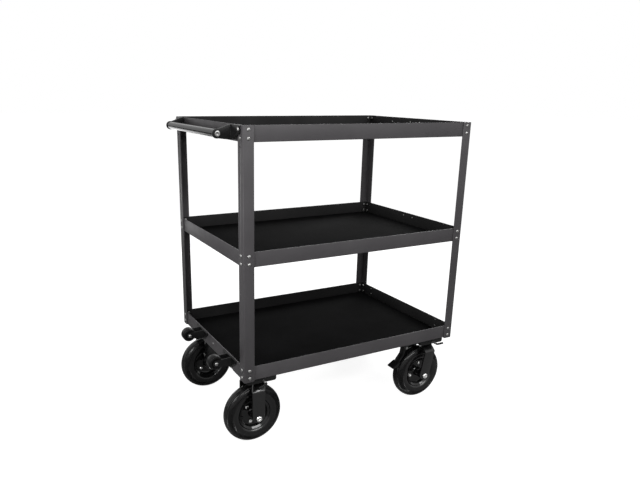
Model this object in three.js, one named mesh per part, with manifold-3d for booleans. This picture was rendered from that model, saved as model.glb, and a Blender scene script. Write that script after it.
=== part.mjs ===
// Camera cart: three lipped shelves bolted between four corner posts, a push handle and two
// bumper rollers at the left end, and four swivel casters with air tyres.
// Millimetres, +Z up. The floor is at zero height and the origin lies under the cart's middle.
import * as THREE from 'three';
import { mergeVertices } from 'three/addons/utils/BufferGeometryUtils.js';
import Module from 'manifold-3d';

const wasm = await Module();
wasm.setup();

// Gap between pieces that touch, how far a cutting tool runs past its work,
// and how deep two joined shapes run into each other
const clearance = 0.3;
const overrun = 2;
const bite = 0.6;

// Whole frame, measured over the posts
const frameLength = 914.4;
const frameWidth = 632;
const postHeight = 848;
const postFlange = 38;
const postThickness = 3;
const postCornerRadius = 5;
const postDrop = 2.4;

// Shelves: pressed trays with an upright lip all round
const lipHeight = 51;
const sheet = 2.5;
const lowerBay = 400;
const matThickness = 3;
const matMargin = 6;

// Bolts that hold the lips to the posts
const boltRadius = 3;
const boltHeadRadius = 6;
const boltHeadHeight = 4;
const boltCrownRadius = 4;
const boltNutRadius = 5.7;
const boltNutHeight = 5;
const boltInset = 20;
const boltLowerRise = 12;
const boltPitch = 27;
const spareHoleRadius = 3.5;
const spareHoleDrop = 14;

// Push handle
const handleRadius = 12.7;
const handleReach = 50;
const handleDrop = 28.5;
const handleCheekInset = 85;
const handleBracketThickness = 5;
const handleBracketDepth = 48;
const handleBracketOuterDepth = 26;
const handleNoseRadius = 15;
const handleFootGap = 14;
const handleScrewRadius = 5;
const handleScrewHeadRadius = 9;
const handleScrewHeadHeight = 6;
const handleScrewReach = 20;
const handleSocketRadius = 4.4;
const handleSocketDepth = 3.5;
const handleBoreRest = 4;

// Bumper rollers on the left lip of the bottom shelf
const bumperInsetFront = 131;
const bumperInsetRear = 223;
const bumperRadius = 25;
const bumperLength = 32;
const bumperEdge = 4;
const bumperReach = 59;
const bumperRise = 34.5;
const bumperPlateThickness = 4;
const bumperPlateHalfWidth = 58;
const bumperPlateFootHalfWidth = 10;
const bumperPlateSide = 11;
const bumperPlateTopInset = 2;
const bumperPlateFootInset = 5;
const bumperCheekThickness = 4;
const bumperCheekGap = 0.6;
const bumperCheekRadius = 12;
const bumperAxleRadius = 4;
const bumperAxleHeadRadius = 7;
const bumperAxleHeadHeight = 4;

// Caster places under the frame
const kingpinInsetX = 82.5;
const kingpinInsetY = 82;

// Wheel
const tyreRadius = 109;
const tyreHalfWidth = 28;
const tyreSectionHeight = 29;
const tyreBeadHalfWidth = 20.5;
const tyreBeadHeight = 6.5;
const rimRadius = 54;
const rimLipHeight = 5.5;
const rimLipThickness = 3;
const rimWall = 3;
const rimWebThickness = 8;
const hubRadius = 17;
const hubHalfLength = 51.4;
const rimBoltCircle = 36;
const rimBoltRadius = 7;
const rimBoltHeight = 7;
const rimBoltCount = 3;
const axleRadius = 6.3;
const axleHeadRadius = 11;
const axleHeadHeight = 8;

// Caster fork, bent from flat bar
const tyreTopGap = 19;
const forkBar = 6;
const forkHalfWidth = 24;
const forkFootRise = 8;
const brakedForkLean = 20;
const forkInnerHalfGap = 52;
const crownHalfLength = 27;
const shoulderDrop = 30;
const trail = 17;

// Swivel race, top plate, and the box that carries the caster under the shelf
const lowerRaceRadius = 35;
const lowerRaceHeight = 5.7;
const upperRaceRadius = 33;
const upperRaceHeight = 4.3;
const topPlateHalfLength = 38;
const topPlateHalfWidth = 44;
const topPlateThickness = 5;
const plateBoltX = 28;
const plateBoltY = 34;
const mountBoxDepth = 15;
const mountBoxSheet = 3;
const mountBoxBack = 71;
const mountBoxFront = 39.6;
const mountBoxWidth = 125;
const mountBoxCornerRadius = 7;

// Kingpin with its four-notch lock disc
const kingpinRadius = 8;
const kingpinHeadRadius = 13;
const kingpinHeadHeight = 7;
const lockDiscRadius = 26;
const lockDiscThickness = 4;
const lockDiscCapRadius = 12;
const lockDiscCapHeight = 3;
const lockNotchCount = 4;
const lockNotchPlay = 0.7;
const lockNotchFloor = 15;

// Swivel lock pin, pulled and pushed by a bent handle
const lockPinRadius = 4;
const lockPinOffset = -12;
const lockPinRise = 9;
const lockPinTipGap = 1.5;
const lockPinStandOff = 30;
const lockHandleRadius = 3.2;
const lockHandleLength = 30;
const lockHandleDroop = Math.PI / 9;
const lockGuideHalfWidth = 8;
const lockGuideLength = 14;

// Foot brake on the two right-hand casters
const brakePivotBack = 88;
const brakePivotDrop = 13;
const brakeBarrelRadius = 7;
const brakeHalfWidth = 13;
const brakePinRadius = 3;
const brakePinHeadRadius = 5;
const brakePinHeadHeight = 2.5;
const brakeEarThickness = 5;
const brakeEarHalfLength = 10;
const brakeEarDrop = 21;
const brakeShoeGap = 7;
const brakeArmElbow = 99;
const brakeArmElbowDrop = 41;
const brakeArmKnee = 124;
const brakeArmKneeDrop = 72;
const brakeArmThickness = 14;
const brakePedalReach = 151;
const brakePedalDrop = 88;
const brakePedalThickness = 6;
const brakePedalHalfWidth = 18;

// How finely round shapes are cut
const boltSides = 8;
const nutSides = 6;
const smallSides = 12;
const raceSides = 16;
const wheelSides = 24;
const tyreSectionSteps = 8;

// Heights that follow from the stack of caster parts, from the floor up
const crownUnderside = 2 * tyreRadius + tyreTopGap;
const crownTop = crownUnderside + forkBar;
const lowerRaceTop = crownTop + lowerRaceHeight;
const topPlateUnderside = lowerRaceTop + clearance + upperRaceHeight;
const topPlateTop = topPlateUnderside + topPlateThickness;
const mountBoxUnderside = topPlateTop + clearance;
const mountBoxTop = mountBoxUnderside + mountBoxDepth;
const bottomShelfUnderside = mountBoxTop + clearance;
const postBottom = bottomShelfUnderside - postDrop;
const postTop = postBottom + postHeight;
const shelfUndersides = {
  bottom: bottomShelfUnderside,
  middle: bottomShelfUnderside + lowerBay,
  top: postTop - lipHeight,
};

// Shelf faces that the posts and fittings bear on
const frameHalfLength = frameLength / 2;
const frameHalfWidth = frameWidth / 2;
const shelfHalfLength = frameHalfLength - postThickness - clearance;
const shelfHalfWidth = frameHalfWidth - postThickness - clearance;
const boltRises = [boltLowerRise, boltLowerRise + boltPitch];
const handleCheekOffset = frameHalfWidth - handleCheekInset;

// Basic shapes

// Box between two corners, given as [low, high] pairs in any order
function block(xs, ys, zs) {
  const size = [xs, ys, zs].map(([from, to]) => Math.abs(to - from));
  const middle = [xs, ys, zs].map(([from, to]) => (from + to) / 2);
  return new THREE.BoxGeometry(...size).translate(...middle);
}

// Turns a shape that lies along Z so that it lies along X, Y or Z
function turnTo(axis, geometry) {
  if (axis === 'x') return geometry.rotateZ(Math.PI / 2).rotateY(Math.PI / 2);
  if (axis === 'y') return geometry.rotateX(Math.PI / 2);
  return geometry;
}

// Outline extruded along an axis. Its own x and y are world Y and Z along 'x',
// world X and Z along 'y', and world X and Y along 'z'.
function slice(axis, outline, ends, curveSegments = smallSides / 4) {
  const low = Math.min(...ends);
  const high = Math.max(...ends);
  const geometry = new THREE.ExtrudeGeometry(outline, {
    depth: high - low,
    bevelEnabled: false,
    curveSegments,
  });
  if (axis === 'x') return turnTo('x', geometry).translate(low, 0, 0);
  if (axis === 'y') return turnTo('y', geometry).translate(0, high, 0);
  return geometry.translate(0, 0, low);
}

// Round bar along an axis between two ends, through the point [a, b] of the other two axes
function bar(axis, radius, ends, through = [0, 0], sides = smallSides, endRadius = radius) {
  const [from, to] = ends;
  const rises = to > from;
  const low = rises ? radius : endRadius;
  const high = rises ? endRadius : radius;
  const geometry = new THREE.CylinderGeometry(high, low, Math.abs(to - from), sides);
  const middle = (from + to) / 2;
  const [a, b] = through;
  if (axis === 'x') return geometry.rotateZ(-Math.PI / 2).translate(middle, a, b);
  if (axis === 'y') return geometry.translate(a, middle, b);
  return geometry.rotateX(Math.PI / 2).translate(a, b, middle);
}

// Body of revolution about Z from [radius, height] points that start and end on the axis
function turned(points, sides = smallSides) {
  const profile = points.map(([radius, height]) => new THREE.Vector2(radius, height));
  return new THREE.LatheGeometry(profile, sides).rotateX(Math.PI / 2);
}

// Ring of revolution about Y from a closed loop of [radius, offset] points
function ring(points, sides = wheelSides) {
  const profile = [...points, points[0]].map(([radius, offset]) => new THREE.Vector2(radius, offset));
  return new THREE.LatheGeometry(profile, sides);
}

// Closed outline through [x, y] points
function outlineOf(points) {
  return new THREE.Shape(points.map(([x, y]) => new THREE.Vector2(x, y)));
}

// Rectangle whose two lower corners are rounded
function roundFootRectangle([left, right], [low, high], radius) {
  const shape = new THREE.Shape();
  shape.moveTo(left, high);
  shape.lineTo(left, low + radius);
  shape.absarc(left + radius, low + radius, radius, Math.PI, Math.PI * 3 / 2, false);
  shape.absarc(right - radius, low + radius, radius, Math.PI * 3 / 2, Math.PI * 2, false);
  shape.lineTo(right, high);
  return shape;
}

// Joining and cutting

function solidOf(geometry) {
  const bare = geometry.clone();
  bare.deleteAttribute('normal');
  bare.deleteAttribute('uv');
  const merged = mergeVertices(bare);
  return new wasm.Manifold(new wasm.Mesh({
    numProp: 3,
    vertProperties: merged.attributes.position.array,
    triVerts: merged.index.array,
  }));
}

function geometryOf(solid) {
  const { vertProperties, triVerts } = solid.getMesh();
  const geometry = new THREE.BufferGeometry();
  geometry.setAttribute('position', new THREE.BufferAttribute(vertProperties, 3));
  geometry.setIndex(new THREE.BufferAttribute(triVerts, 1));
  const faceted = geometry.toNonIndexed();
  faceted.computeVertexNormals();
  return faceted;
}

// Joins the first list of shapes and cuts the second list away
function carve(shapes, tools = []) {
  const joined = shapes.map(solidOf).reduce((whole, piece) => whole.add(piece));
  return geometryOf(tools.map(solidOf).reduce((whole, tool) => whole.subtract(tool), joined));
}

// What two shapes have in common
function commonOf(first, second) {
  return geometryOf(solidOf(first).intersect(solidOf(second)));
}

// Finishes
const finishes = {
  frame: { color: 0x4b4a4c, roughness: 0.55, metalness: 0.35 },
  mat: { color: 0x141414, roughness: 0.95, metalness: 0 },
  handle: { color: 0x101011, roughness: 0.35, metalness: 0.1 },
  fitting: { color: 0x161617, roughness: 0.5, metalness: 0.3 },
  screw: { color: 0xc4c4c2, roughness: 0.3, metalness: 0.9 },
  roller: { color: 0x1c1c1d, roughness: 0.7, metalness: 0 },
  caster: { color: 0x7e7f81, roughness: 0.4, metalness: 0.7 },
  rim: { color: 0x111112, roughness: 0.35, metalness: 0.2 },
  tyre: { color: 0x232324, roughness: 0.85, metalness: 0 },
};

function piece(name, geometry, finish) {
  const mesh = new THREE.Mesh(geometry, new THREE.MeshStandardMaterial(finishes[finish]));
  mesh.name = name;
  return mesh;
}

// Corner posts

// One bolt through a post flange and a shelf lip, head outside and nut inside.
// The side is +1 or -1, and the extra grip is what the head clamps besides the flange.
function lipBolt(axis, side, half, through, extraGrip = 0) {
  const seat = half + extraGrip;
  const lipInside = half - postThickness - clearance - sheet;
  const nutFace = lipInside - clearance;
  const nutEnd = nutFace - boltNutHeight;
  const ends = (from, to) => [side * from, side * to];
  const headBase = extraGrip > 0 ? seat : seat - bite;
  return [
    bar(axis, boltHeadRadius, ends(headBase, seat + boltHeadHeight), through, boltSides, boltCrownRadius),
    bar(axis, boltRadius, ends(nutEnd + bite, seat + bite), through, nutSides),
    bar(axis, boltNutRadius, ends(nutEnd, nutFace), through, nutSides),
  ];
}

// Angle post in the corner given by the signs sx and sy, with its twelve bolts.
// The left-hand posts have one spare hole below the top shelf.
function cornerPost(sx, sy) {
  const outerX = sx * frameHalfLength;
  const outerY = sy * frameHalfWidth;
  const freeX = outerX - sx * postFlange;
  const freeY = outerY - sy * postFlange;
  const heights = [postBottom, postTop];
  const alongX = [Math.min(outerX, freeX), Math.max(outerX, freeX)];
  const alongY = [Math.min(outerY, freeY), Math.max(outerY, freeY)];
  const faceFlange = slice('y', roundFootRectangle(alongX, heights, postCornerRadius),
    [outerY, outerY - sy * postThickness]);
  const endFlange = slice('x', roundFootRectangle(alongY, heights, postCornerRadius),
    [outerX, outerX - sx * postThickness]);
  const shapes = [faceFlange, endFlange];
  for (const [shelf, underside] of Object.entries(shelfUndersides)) {
    for (const rise of boltRises) {
      const height = underside + rise;
      const carriesHandle = sx < 0 && shelf === 'top' && rise === Math.max(...boltRises);
      const grip = carriesHandle ? handleBracketThickness + 2 * clearance : 0;
      shapes.push(...lipBolt('x', sx, frameHalfLength, [outerY - sy * boltInset, height], grip));
      shapes.push(...lipBolt('y', sy, frameHalfWidth, [outerX - sx * boltInset, height]));
    }
  }
  if (sx > 0) return carve(shapes);
  const spareHole = bar('x', spareHoleRadius, [outerX - overrun, outerX + postThickness + overrun],
    [outerY - sy * boltInset, shelfUndersides.top - spareHoleDrop], boltSides);
  return carve(shapes, [spareHole]);
}

// Shelves and their mats

function shelfTray(underside) {
  const height = [underside, underside + lipHeight];
  const tray = block([-shelfHalfLength, shelfHalfLength], [-shelfHalfWidth, shelfHalfWidth], height);
  const innerX = shelfHalfLength - sheet;
  const innerY = shelfHalfWidth - sheet;
  const hollow = block([-innerX, innerX], [-innerY, innerY],
    [underside + sheet, underside + lipHeight + overrun]);
  const holeRadius = boltRadius + clearance;
  const holes = [];
  for (const side of [-1, 1]) {
    const throughEnd = [side * (innerX - overrun), side * (shelfHalfLength + overrun)];
    const throughFace = [side * (innerY - overrun), side * (shelfHalfWidth + overrun)];
    for (const other of [-1, 1]) {
      for (const rise of boltRises) {
        const y = other * (frameHalfWidth - boltInset);
        const x = other * (frameHalfLength - boltInset);
        holes.push(bar('x', holeRadius, throughEnd, [y, underside + rise], nutSides));
        holes.push(bar('y', holeRadius, throughFace, [x, underside + rise], nutSides));
      }
    }
  }
  return carve([tray], [hollow, ...holes]);
}

function shelfMat(underside) {
  const halfLength = shelfHalfLength - sheet - matMargin;
  const halfWidth = shelfHalfWidth - sheet - matMargin;
  const base = underside + sheet + clearance;
  return block([-halfLength, halfLength], [-halfWidth, halfWidth], [base, base + matThickness]);
}

// Push handle at the left end

const handleAxisX = -frameHalfLength - handleReach;
const handleAxisZ = postTop - handleDrop;
const handleSeat = -frameHalfLength - clearance;

// Folded plate: a foot on the post's end flange, and a cheek that narrows to the tube
function handleBracket(sy) {
  const inner = sy * handleCheekOffset;
  const outer = inner + sy * handleBracketThickness;
  const footEnd = sy * (frameHalfWidth - handleFootGap);
  const footFace = handleSeat - handleBracketThickness;
  const low = postTop - handleBracketDepth;
  const noseStart = Math.PI * 0.42;
  const cheekOutline = new THREE.Shape();
  cheekOutline.moveTo(handleSeat, postTop);
  cheekOutline.lineTo(footFace, postTop);
  cheekOutline.absarc(handleAxisX, handleAxisZ, handleNoseRadius, noseStart, Math.PI * 2 - noseStart, false);
  cheekOutline.lineTo(footFace, low);
  cheekOutline.lineTo(handleSeat, low);
  const cheek = slice('y', cheekOutline, [inner, outer]);
  const foot = slice('x', outlineOf([
    [inner, postTop],
    [footEnd, postTop],
    [footEnd, postTop - handleBracketOuterDepth],
    [outer, low],
    [inner, low],
  ]), [handleSeat, footFace]);
  const padEnd = -shelfHalfLength - clearance;
  const padSide = frameHalfWidth - postFlange - clearance;
  const pad = block([handleSeat - bite, padEnd], [inner, sy * padSide], [low + postThickness, postTop - sheet]);
  const boltHole = bar('x', boltRadius + clearance, [handleSeat + overrun, footFace - overrun],
    [sy * (frameHalfWidth - boltInset), shelfUndersides.top + Math.max(...boltRises)], boltSides);
  const screwHole = bar('y', handleScrewRadius + clearance, [inner - sy * overrun, outer + sy * overrun],
    [handleAxisX, handleAxisZ]);
  return carve([cheek, foot, pad], [boltHole, screwHole]);
}

// Round bar with a blind threaded bore in each end
function handleTube() {
  const end = handleCheekOffset - clearance;
  const boreFloor = end - handleScrewReach - handleBoreRest;
  const through = [handleAxisX, handleAxisZ];
  const bores = [-1, 1].map((side) => bar('y', handleScrewRadius + clearance,
    [side * boreFloor, side * (end + overrun)], through));
  return carve([bar('y', handleRadius, [-end, end], through, smallSides * 2)], bores);
}

// Cap screw with a socket in its head
function handleScrew(sy) {
  const seat = handleCheekOffset + handleBracketThickness + clearance;
  const top = seat + handleScrewHeadHeight;
  const tip = handleCheekOffset - handleScrewReach;
  const through = [handleAxisX, handleAxisZ];
  const head = bar('y', handleScrewHeadRadius, [sy * seat, sy * top], through);
  const shank = bar('y', handleScrewRadius, [sy * tip, sy * (seat + bite)], through);
  const socket = bar('y', handleSocketRadius, [sy * (top - handleSocketDepth), sy * (top + overrun)],
    through, nutSides);
  return carve([head, shank], [socket]);
}

// Bumper rollers

const bumperSeat = -shelfHalfLength - clearance;
const bumperAxisX = -shelfHalfLength - bumperReach;
const bumperAxisZ = shelfUndersides.bottom + bumperRise;
const bumperCheekInner = bumperLength / 2 + bumperCheekGap;
const bumperCheekOuter = bumperCheekInner + bumperCheekThickness;

// Shield-shaped plate on the lip with two cheeks that hold the roller; y runs from the roller's middle
function bumperBracket() {
  const plateFace = bumperSeat - bumperPlateThickness;
  const top = shelfUndersides.bottom + lipHeight - bumperPlateTopInset;
  const side = top - bumperPlateSide;
  const foot = shelfUndersides.bottom + bumperPlateFootInset;
  const plate = slice('x', outlineOf([
    [-bumperPlateHalfWidth, top],
    [-bumperPlateHalfWidth, side],
    [-bumperPlateFootHalfWidth, foot],
    [bumperPlateFootHalfWidth, foot],
    [bumperPlateHalfWidth, side],
    [bumperPlateHalfWidth, top],
  ]), [bumperSeat, plateFace]);
  const cheekOutline = new THREE.Shape();
  cheekOutline.moveTo(bumperSeat - bite, top);
  cheekOutline.absarc(bumperAxisX, bumperAxisZ, bumperCheekRadius, Math.PI / 2, Math.PI * 3 / 2, false);
  cheekOutline.lineTo(bumperSeat - bite, foot + bumperPlateSide);
  const cheeks = [-1, 1].map((end) => slice('y', cheekOutline,
    [end * bumperCheekInner, end * bumperCheekOuter]));
  const hole = bar('y', bumperAxleRadius + clearance,
    [-bumperCheekOuter - overrun, bumperCheekOuter + overrun], [bumperAxisX, bumperAxisZ], boltSides);
  return carve([plate, ...cheeks], [hole]);
}

// Rubber roller about its own axis
function bumperRoller() {
  const half = bumperLength / 2;
  const bore = bumperAxleRadius + clearance;
  return ring([
    [bore, -half],
    [bumperRadius - bumperEdge, -half],
    [bumperRadius, -half + bumperEdge],
    [bumperRadius, half - bumperEdge],
    [bumperRadius - bumperEdge, half],
    [bore, half],
  ], smallSides * 2);
}

// Axle bolt of a roller, head towards the front and nut behind
function bumperAxle() {
  const seat = bumperCheekOuter + clearance;
  const end = seat + bumperAxleHeadHeight;
  return carve([
    bar('y', bumperAxleRadius, [-seat - bite, seat + bite], [0, 0], boltSides),
    bar('y', bumperAxleHeadRadius, [-seat, -end], [0, 0], boltSides, boltHeadRadius),
    bar('y', bumperAxleHeadRadius, [seat, end], [0, 0], nutSides),
  ]);
}

// Wheel, about its own centre with the axle along Y

function signedPower(value, power) {
  return Math.sign(value) * Math.abs(value) ** power;
}

// Rounded air tyre: a bead that grips the rim, and a section swollen like a squared ellipse
function tyre() {
  const squareness = 0.85;
  const beadDropShare = 0.6;
  const sectionCentre = tyreRadius - tyreSectionHeight;
  const beadRadius = rimRadius + clearance;
  const start = -Math.asin(beadDropShare);
  const sweep = Math.PI - 2 * start;
  const points = [
    [beadRadius, -tyreBeadHalfWidth],
    [beadRadius + tyreBeadHeight, -tyreBeadHalfWidth],
  ];
  for (let step = 0; step <= tyreSectionSteps; step += 1) {
    const angle = Math.PI - start - sweep * step / tyreSectionSteps;
    points.push([
      sectionCentre + tyreSectionHeight * signedPower(Math.sin(angle), squareness),
      tyreHalfWidth * signedPower(Math.cos(angle), squareness),
    ]);
  }
  points.push([beadRadius + tyreBeadHeight, tyreBeadHalfWidth], [beadRadius, tyreBeadHalfWidth]);
  return ring(points);
}

// Split steel rim with its hub tube and the bolts that hold its halves together
function rim(boltAngle) {
  const lipInner = tyreBeadHalfWidth + clearance;
  const lipOuter = lipInner + rimLipThickness;
  const lipRadius = rimRadius + rimLipHeight;
  const barrel = ring([
    [rimRadius - rimWall, -lipOuter],
    [lipRadius, -lipOuter],
    [lipRadius, -lipInner],
    [rimRadius, -lipInner],
    [rimRadius, lipInner],
    [lipRadius, lipInner],
    [lipRadius, lipOuter],
    [rimRadius - rimWall, lipOuter],
  ]);
  const webHalf = rimWebThickness / 2;
  const web = bar('y', rimRadius - rimWall / 2, [-webHalf, webHalf], [0, 0], wheelSides);
  const hub = bar('y', hubRadius, [-hubHalfLength, hubHalfLength], [0, 0], smallSides);
  const bolts = [];
  for (let index = 0; index < rimBoltCount; index += 1) {
    const angle = boltAngle + 2 * Math.PI * index / rimBoltCount;
    const place = [rimBoltCircle * Math.cos(angle), rimBoltCircle * Math.sin(angle)];
    const reach = webHalf + rimBoltHeight;
    bolts.push(bar('y', rimBoltRadius, [-reach, reach], place, nutSides));
  }
  const bore = bar('y', axleRadius + clearance, [-hubHalfLength - overrun, hubHalfLength + overrun]);
  return carve([barrel, web, hub, ...bolts], [bore]);
}

// Axle bolt through the fork legs, with a nut at the far end
function axleBolt() {
  const seat = forkInnerHalfGap + forkBar + clearance;
  const end = seat + axleHeadHeight;
  return carve([
    bar('y', axleRadius, [-seat - bite, seat + bite]),
    bar('y', axleHeadRadius, [-seat, -end], [0, 0], nutSides),
    bar('y', axleHeadRadius, [seat, end], [0, 0], nutSides),
  ]);
}

// Fork and swivel, about the kingpin axis with zero height on the floor

// Cross section of the bent bar: flat crown, sloping shoulders and upright legs
function forkArch() {
  const legOuter = forkInnerHalfGap + forkBar;
  const shoulder = crownTop - shoulderDrop;
  const foot = tyreRadius + forkFootRise - forkHalfWidth;
  const slope = Math.atan2(shoulderDrop, legOuter - crownHalfLength);
  const crownInner = crownHalfLength - forkBar * Math.tan(slope / 2);
  const shoulderInner = shoulder - forkBar * Math.tan((Math.PI / 2 - slope) / 2);
  return outlineOf([
    [-legOuter, foot],
    [-forkInnerHalfGap, foot],
    [-forkInnerHalfGap, shoulderInner],
    [-crownInner, crownUnderside],
    [crownInner, crownUnderside],
    [forkInnerHalfGap, shoulderInner],
    [forkInnerHalfGap, foot],
    [legOuter, foot],
    [legOuter, shoulder],
    [crownHalfLength, crownTop],
    [-crownHalfLength, crownTop],
    [-legOuter, shoulder],
  ]);
}

// Side view of the bar: the shoulder steps back, and the leg leans forward by the given length
function forkSide(lean) {
  const shoulder = crownTop - shoulderDrop;
  const legTop = lean - trail;
  const shape = new THREE.Shape();
  shape.moveTo(forkHalfWidth, crownTop + overrun);
  shape.lineTo(-forkHalfWidth, crownTop + overrun);
  shape.lineTo(-forkHalfWidth, crownTop);
  shape.lineTo(legTop - forkHalfWidth, shoulder);
  shape.absarc(-trail, tyreRadius + forkFootRise, forkHalfWidth, Math.PI, Math.PI * 2, false);
  shape.lineTo(legTop + forkHalfWidth, shoulder);
  shape.lineTo(forkHalfWidth, crownTop);
  return shape;
}

const brakePivotX = -brakePivotBack;
const brakePivotZ = crownTop - brakePivotDrop;
const brakeEarInner = brakeHalfWidth + clearance;
const brakeEarOuter = brakeEarInner + brakeEarThickness;

function fork(braked) {
  const legOuter = forkInnerHalfGap + forkBar;
  const reach = forkHalfWidth + trail + overrun;
  const side = forkSide(braked ? brakedForkLean : 0);
  const bent = commonOf(
    slice('x', forkArch(), [-reach, reach]),
    slice('y', side, [-legOuter - overrun, legOuter + overrun], smallSides / 2),
  );
  const race = bar('z', lowerRaceRadius, [crownUnderside + bite, lowerRaceTop], [0, 0], raceSides);
  const shapes = [bent, race];
  const tools = [
    bar('z', kingpinRadius + clearance, [crownUnderside - overrun, lowerRaceTop + overrun]),
    bar('y', axleRadius + clearance, [-legOuter - overrun, legOuter + overrun], [-trail, tyreRadius]),
  ];
  if (braked) {
    const back = brakePivotX - brakeEarHalfLength;
    shapes.push(block([back, -forkHalfWidth + bite], [-brakeEarOuter, brakeEarOuter],
      [crownUnderside, crownTop]));
    for (const hand of [-1, 1]) {
      shapes.push(block([back, brakePivotX + brakeEarHalfLength],
        [hand * brakeEarInner, hand * brakeEarOuter], [crownTop - brakeEarDrop, crownTop]));
    }
    tools.push(bar('y', brakePinRadius + clearance, [-brakeEarOuter - overrun, brakeEarOuter + overrun],
      [brakePivotX, brakePivotZ], boltSides));
    const slotBack = brakePivotX + brakeBarrelRadius + overrun;
    tools.push(block([back - overrun, slotBack], [-brakeEarInner, brakeEarInner],
      [crownUnderside - brakeEarDrop, crownTop + overrun]));
  }
  return carve(shapes, tools);
}

// Kingpin: head under the crown, shank up through the plate, and the lock disc inside the box
const lockPinHeight = mountBoxUnderside + lockPinRise;

function kingpin(sy) {
  const headTop = crownUnderside - clearance;
  const discLow = lockPinHeight - lockDiscThickness / 2;
  const discHigh = lockPinHeight + lockDiscThickness / 2;
  const capTop = discHigh + lockDiscCapHeight;
  const pin = turned([
    [0, headTop - kingpinHeadHeight],
    [kingpinHeadRadius, headTop - kingpinHeadHeight],
    [kingpinHeadRadius, headTop],
    [kingpinRadius, headTop],
    [kingpinRadius, discLow],
    [lockDiscRadius, discLow],
    [lockDiscRadius, discHigh],
    [lockDiscCapRadius, discHigh],
    [lockDiscCapRadius, capTop],
    [0, capTop],
  ], smallSides);
  const notchHalf = lockPinRadius + lockNotchPlay;
  const notches = [];
  for (let index = 0; index < lockNotchCount; index += 1) {
    const notch = block([lockPinOffset - notchHalf, lockPinOffset + notchHalf],
      [sy * lockNotchFloor, sy * (lockDiscRadius + overrun)], [discLow - overrun, discHigh + overrun]);
    notches.push(notch.rotateZ(2 * Math.PI * index / lockNotchCount));
  }
  return carve([pin], notches);
}

// Top plate with the upper race and its four bolts
function casterPlate() {
  const plate = block([-topPlateHalfLength, topPlateHalfLength], [-topPlateHalfWidth, topPlateHalfWidth],
    [topPlateUnderside, topPlateTop]);
  const race = bar('z', upperRaceRadius, [lowerRaceTop + clearance, topPlateUnderside + bite], [0, 0],
    raceSides);
  const nutBase = mountBoxUnderside + mountBoxSheet + clearance;
  const shapes = [plate, race];
  for (const x of [-plateBoltX, plateBoltX]) {
    for (const y of [-plateBoltY, plateBoltY]) {
      shapes.push(bar('z', boltHeadRadius, [topPlateUnderside + bite, topPlateUnderside - boltHeadHeight],
        [x, y], nutSides, boltCrownRadius));
      shapes.push(bar('z', boltRadius, [topPlateUnderside, nutBase + bite], [x, y], nutSides));
      shapes.push(bar('z', boltNutRadius, [nutBase, nutBase + boltNutHeight], [x, y], nutSides));
    }
  }
  const hole = bar('z', kingpinRadius + clearance, [lowerRaceTop, topPlateTop + overrun]);
  return carve(shapes, [hole]);
}

// Shallow box between the shelf and the caster; sy points to the cart's nearer long side
const mountBoxFace = shelfHalfWidth - (frameHalfWidth - kingpinInsetY);

function mountBox(sy) {
  const outer = sy * mountBoxFace;
  const inner = outer - sy * mountBoxWidth;
  const shell = slice('y', roundFootRectangle([-mountBoxBack, mountBoxFront],
    [mountBoxUnderside, mountBoxTop], mountBoxCornerRadius), [outer, inner]);
  const floor = mountBoxUnderside + mountBoxSheet;
  const hollow = block([-mountBoxBack + mountBoxSheet, mountBoxFront - mountBoxSheet],
    [outer - sy * mountBoxSheet, inner + sy * mountBoxSheet], [floor, mountBoxTop + overrun]);
  const tray = carve([shell], [hollow]);
  const guide = block([lockPinOffset - lockGuideHalfWidth, lockPinOffset + lockGuideHalfWidth],
    [outer - sy * bite, outer - sy * (mountBoxSheet + lockGuideLength)], [floor - bite, mountBoxTop]);
  const tools = [
    bar('z', kingpinRadius + clearance, [mountBoxUnderside - overrun, floor + overrun]),
    bar('y', lockPinRadius + clearance, [outer + sy * overrun,
      outer - sy * (mountBoxSheet + lockGuideLength + overrun)], [lockPinOffset, lockPinHeight]),
  ];
  for (const x of [-plateBoltX, plateBoltX]) {
    for (const y of [-plateBoltY, plateBoltY]) {
      tools.push(bar('z', boltRadius + clearance, [mountBoxUnderside - overrun, floor + overrun],
        [x, y], nutSides));
    }
  }
  return carve([tray, guide], tools);
}

// Lock pin with its bent handle; sx is the way the handle points, and it droops on the left
function lockPin(sx, sy) {
  const tip = sy * (lockDiscRadius + lockPinTipGap);
  const elbow = sy * (mountBoxFace + lockPinStandOff);
  const plunger = bar('y', lockPinRadius, [tip, elbow + sy * lockPinRadius],
    [lockPinOffset, lockPinHeight]);
  const handle = bar('x', lockHandleRadius, [0, sx * lockHandleLength], [0, 0], boltSides);
  if (sx < 0) handle.rotateY(-lockHandleDroop);
  handle.translate(lockPinOffset, elbow, lockPinHeight);
  return carve([plunger, handle]);
}

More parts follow.
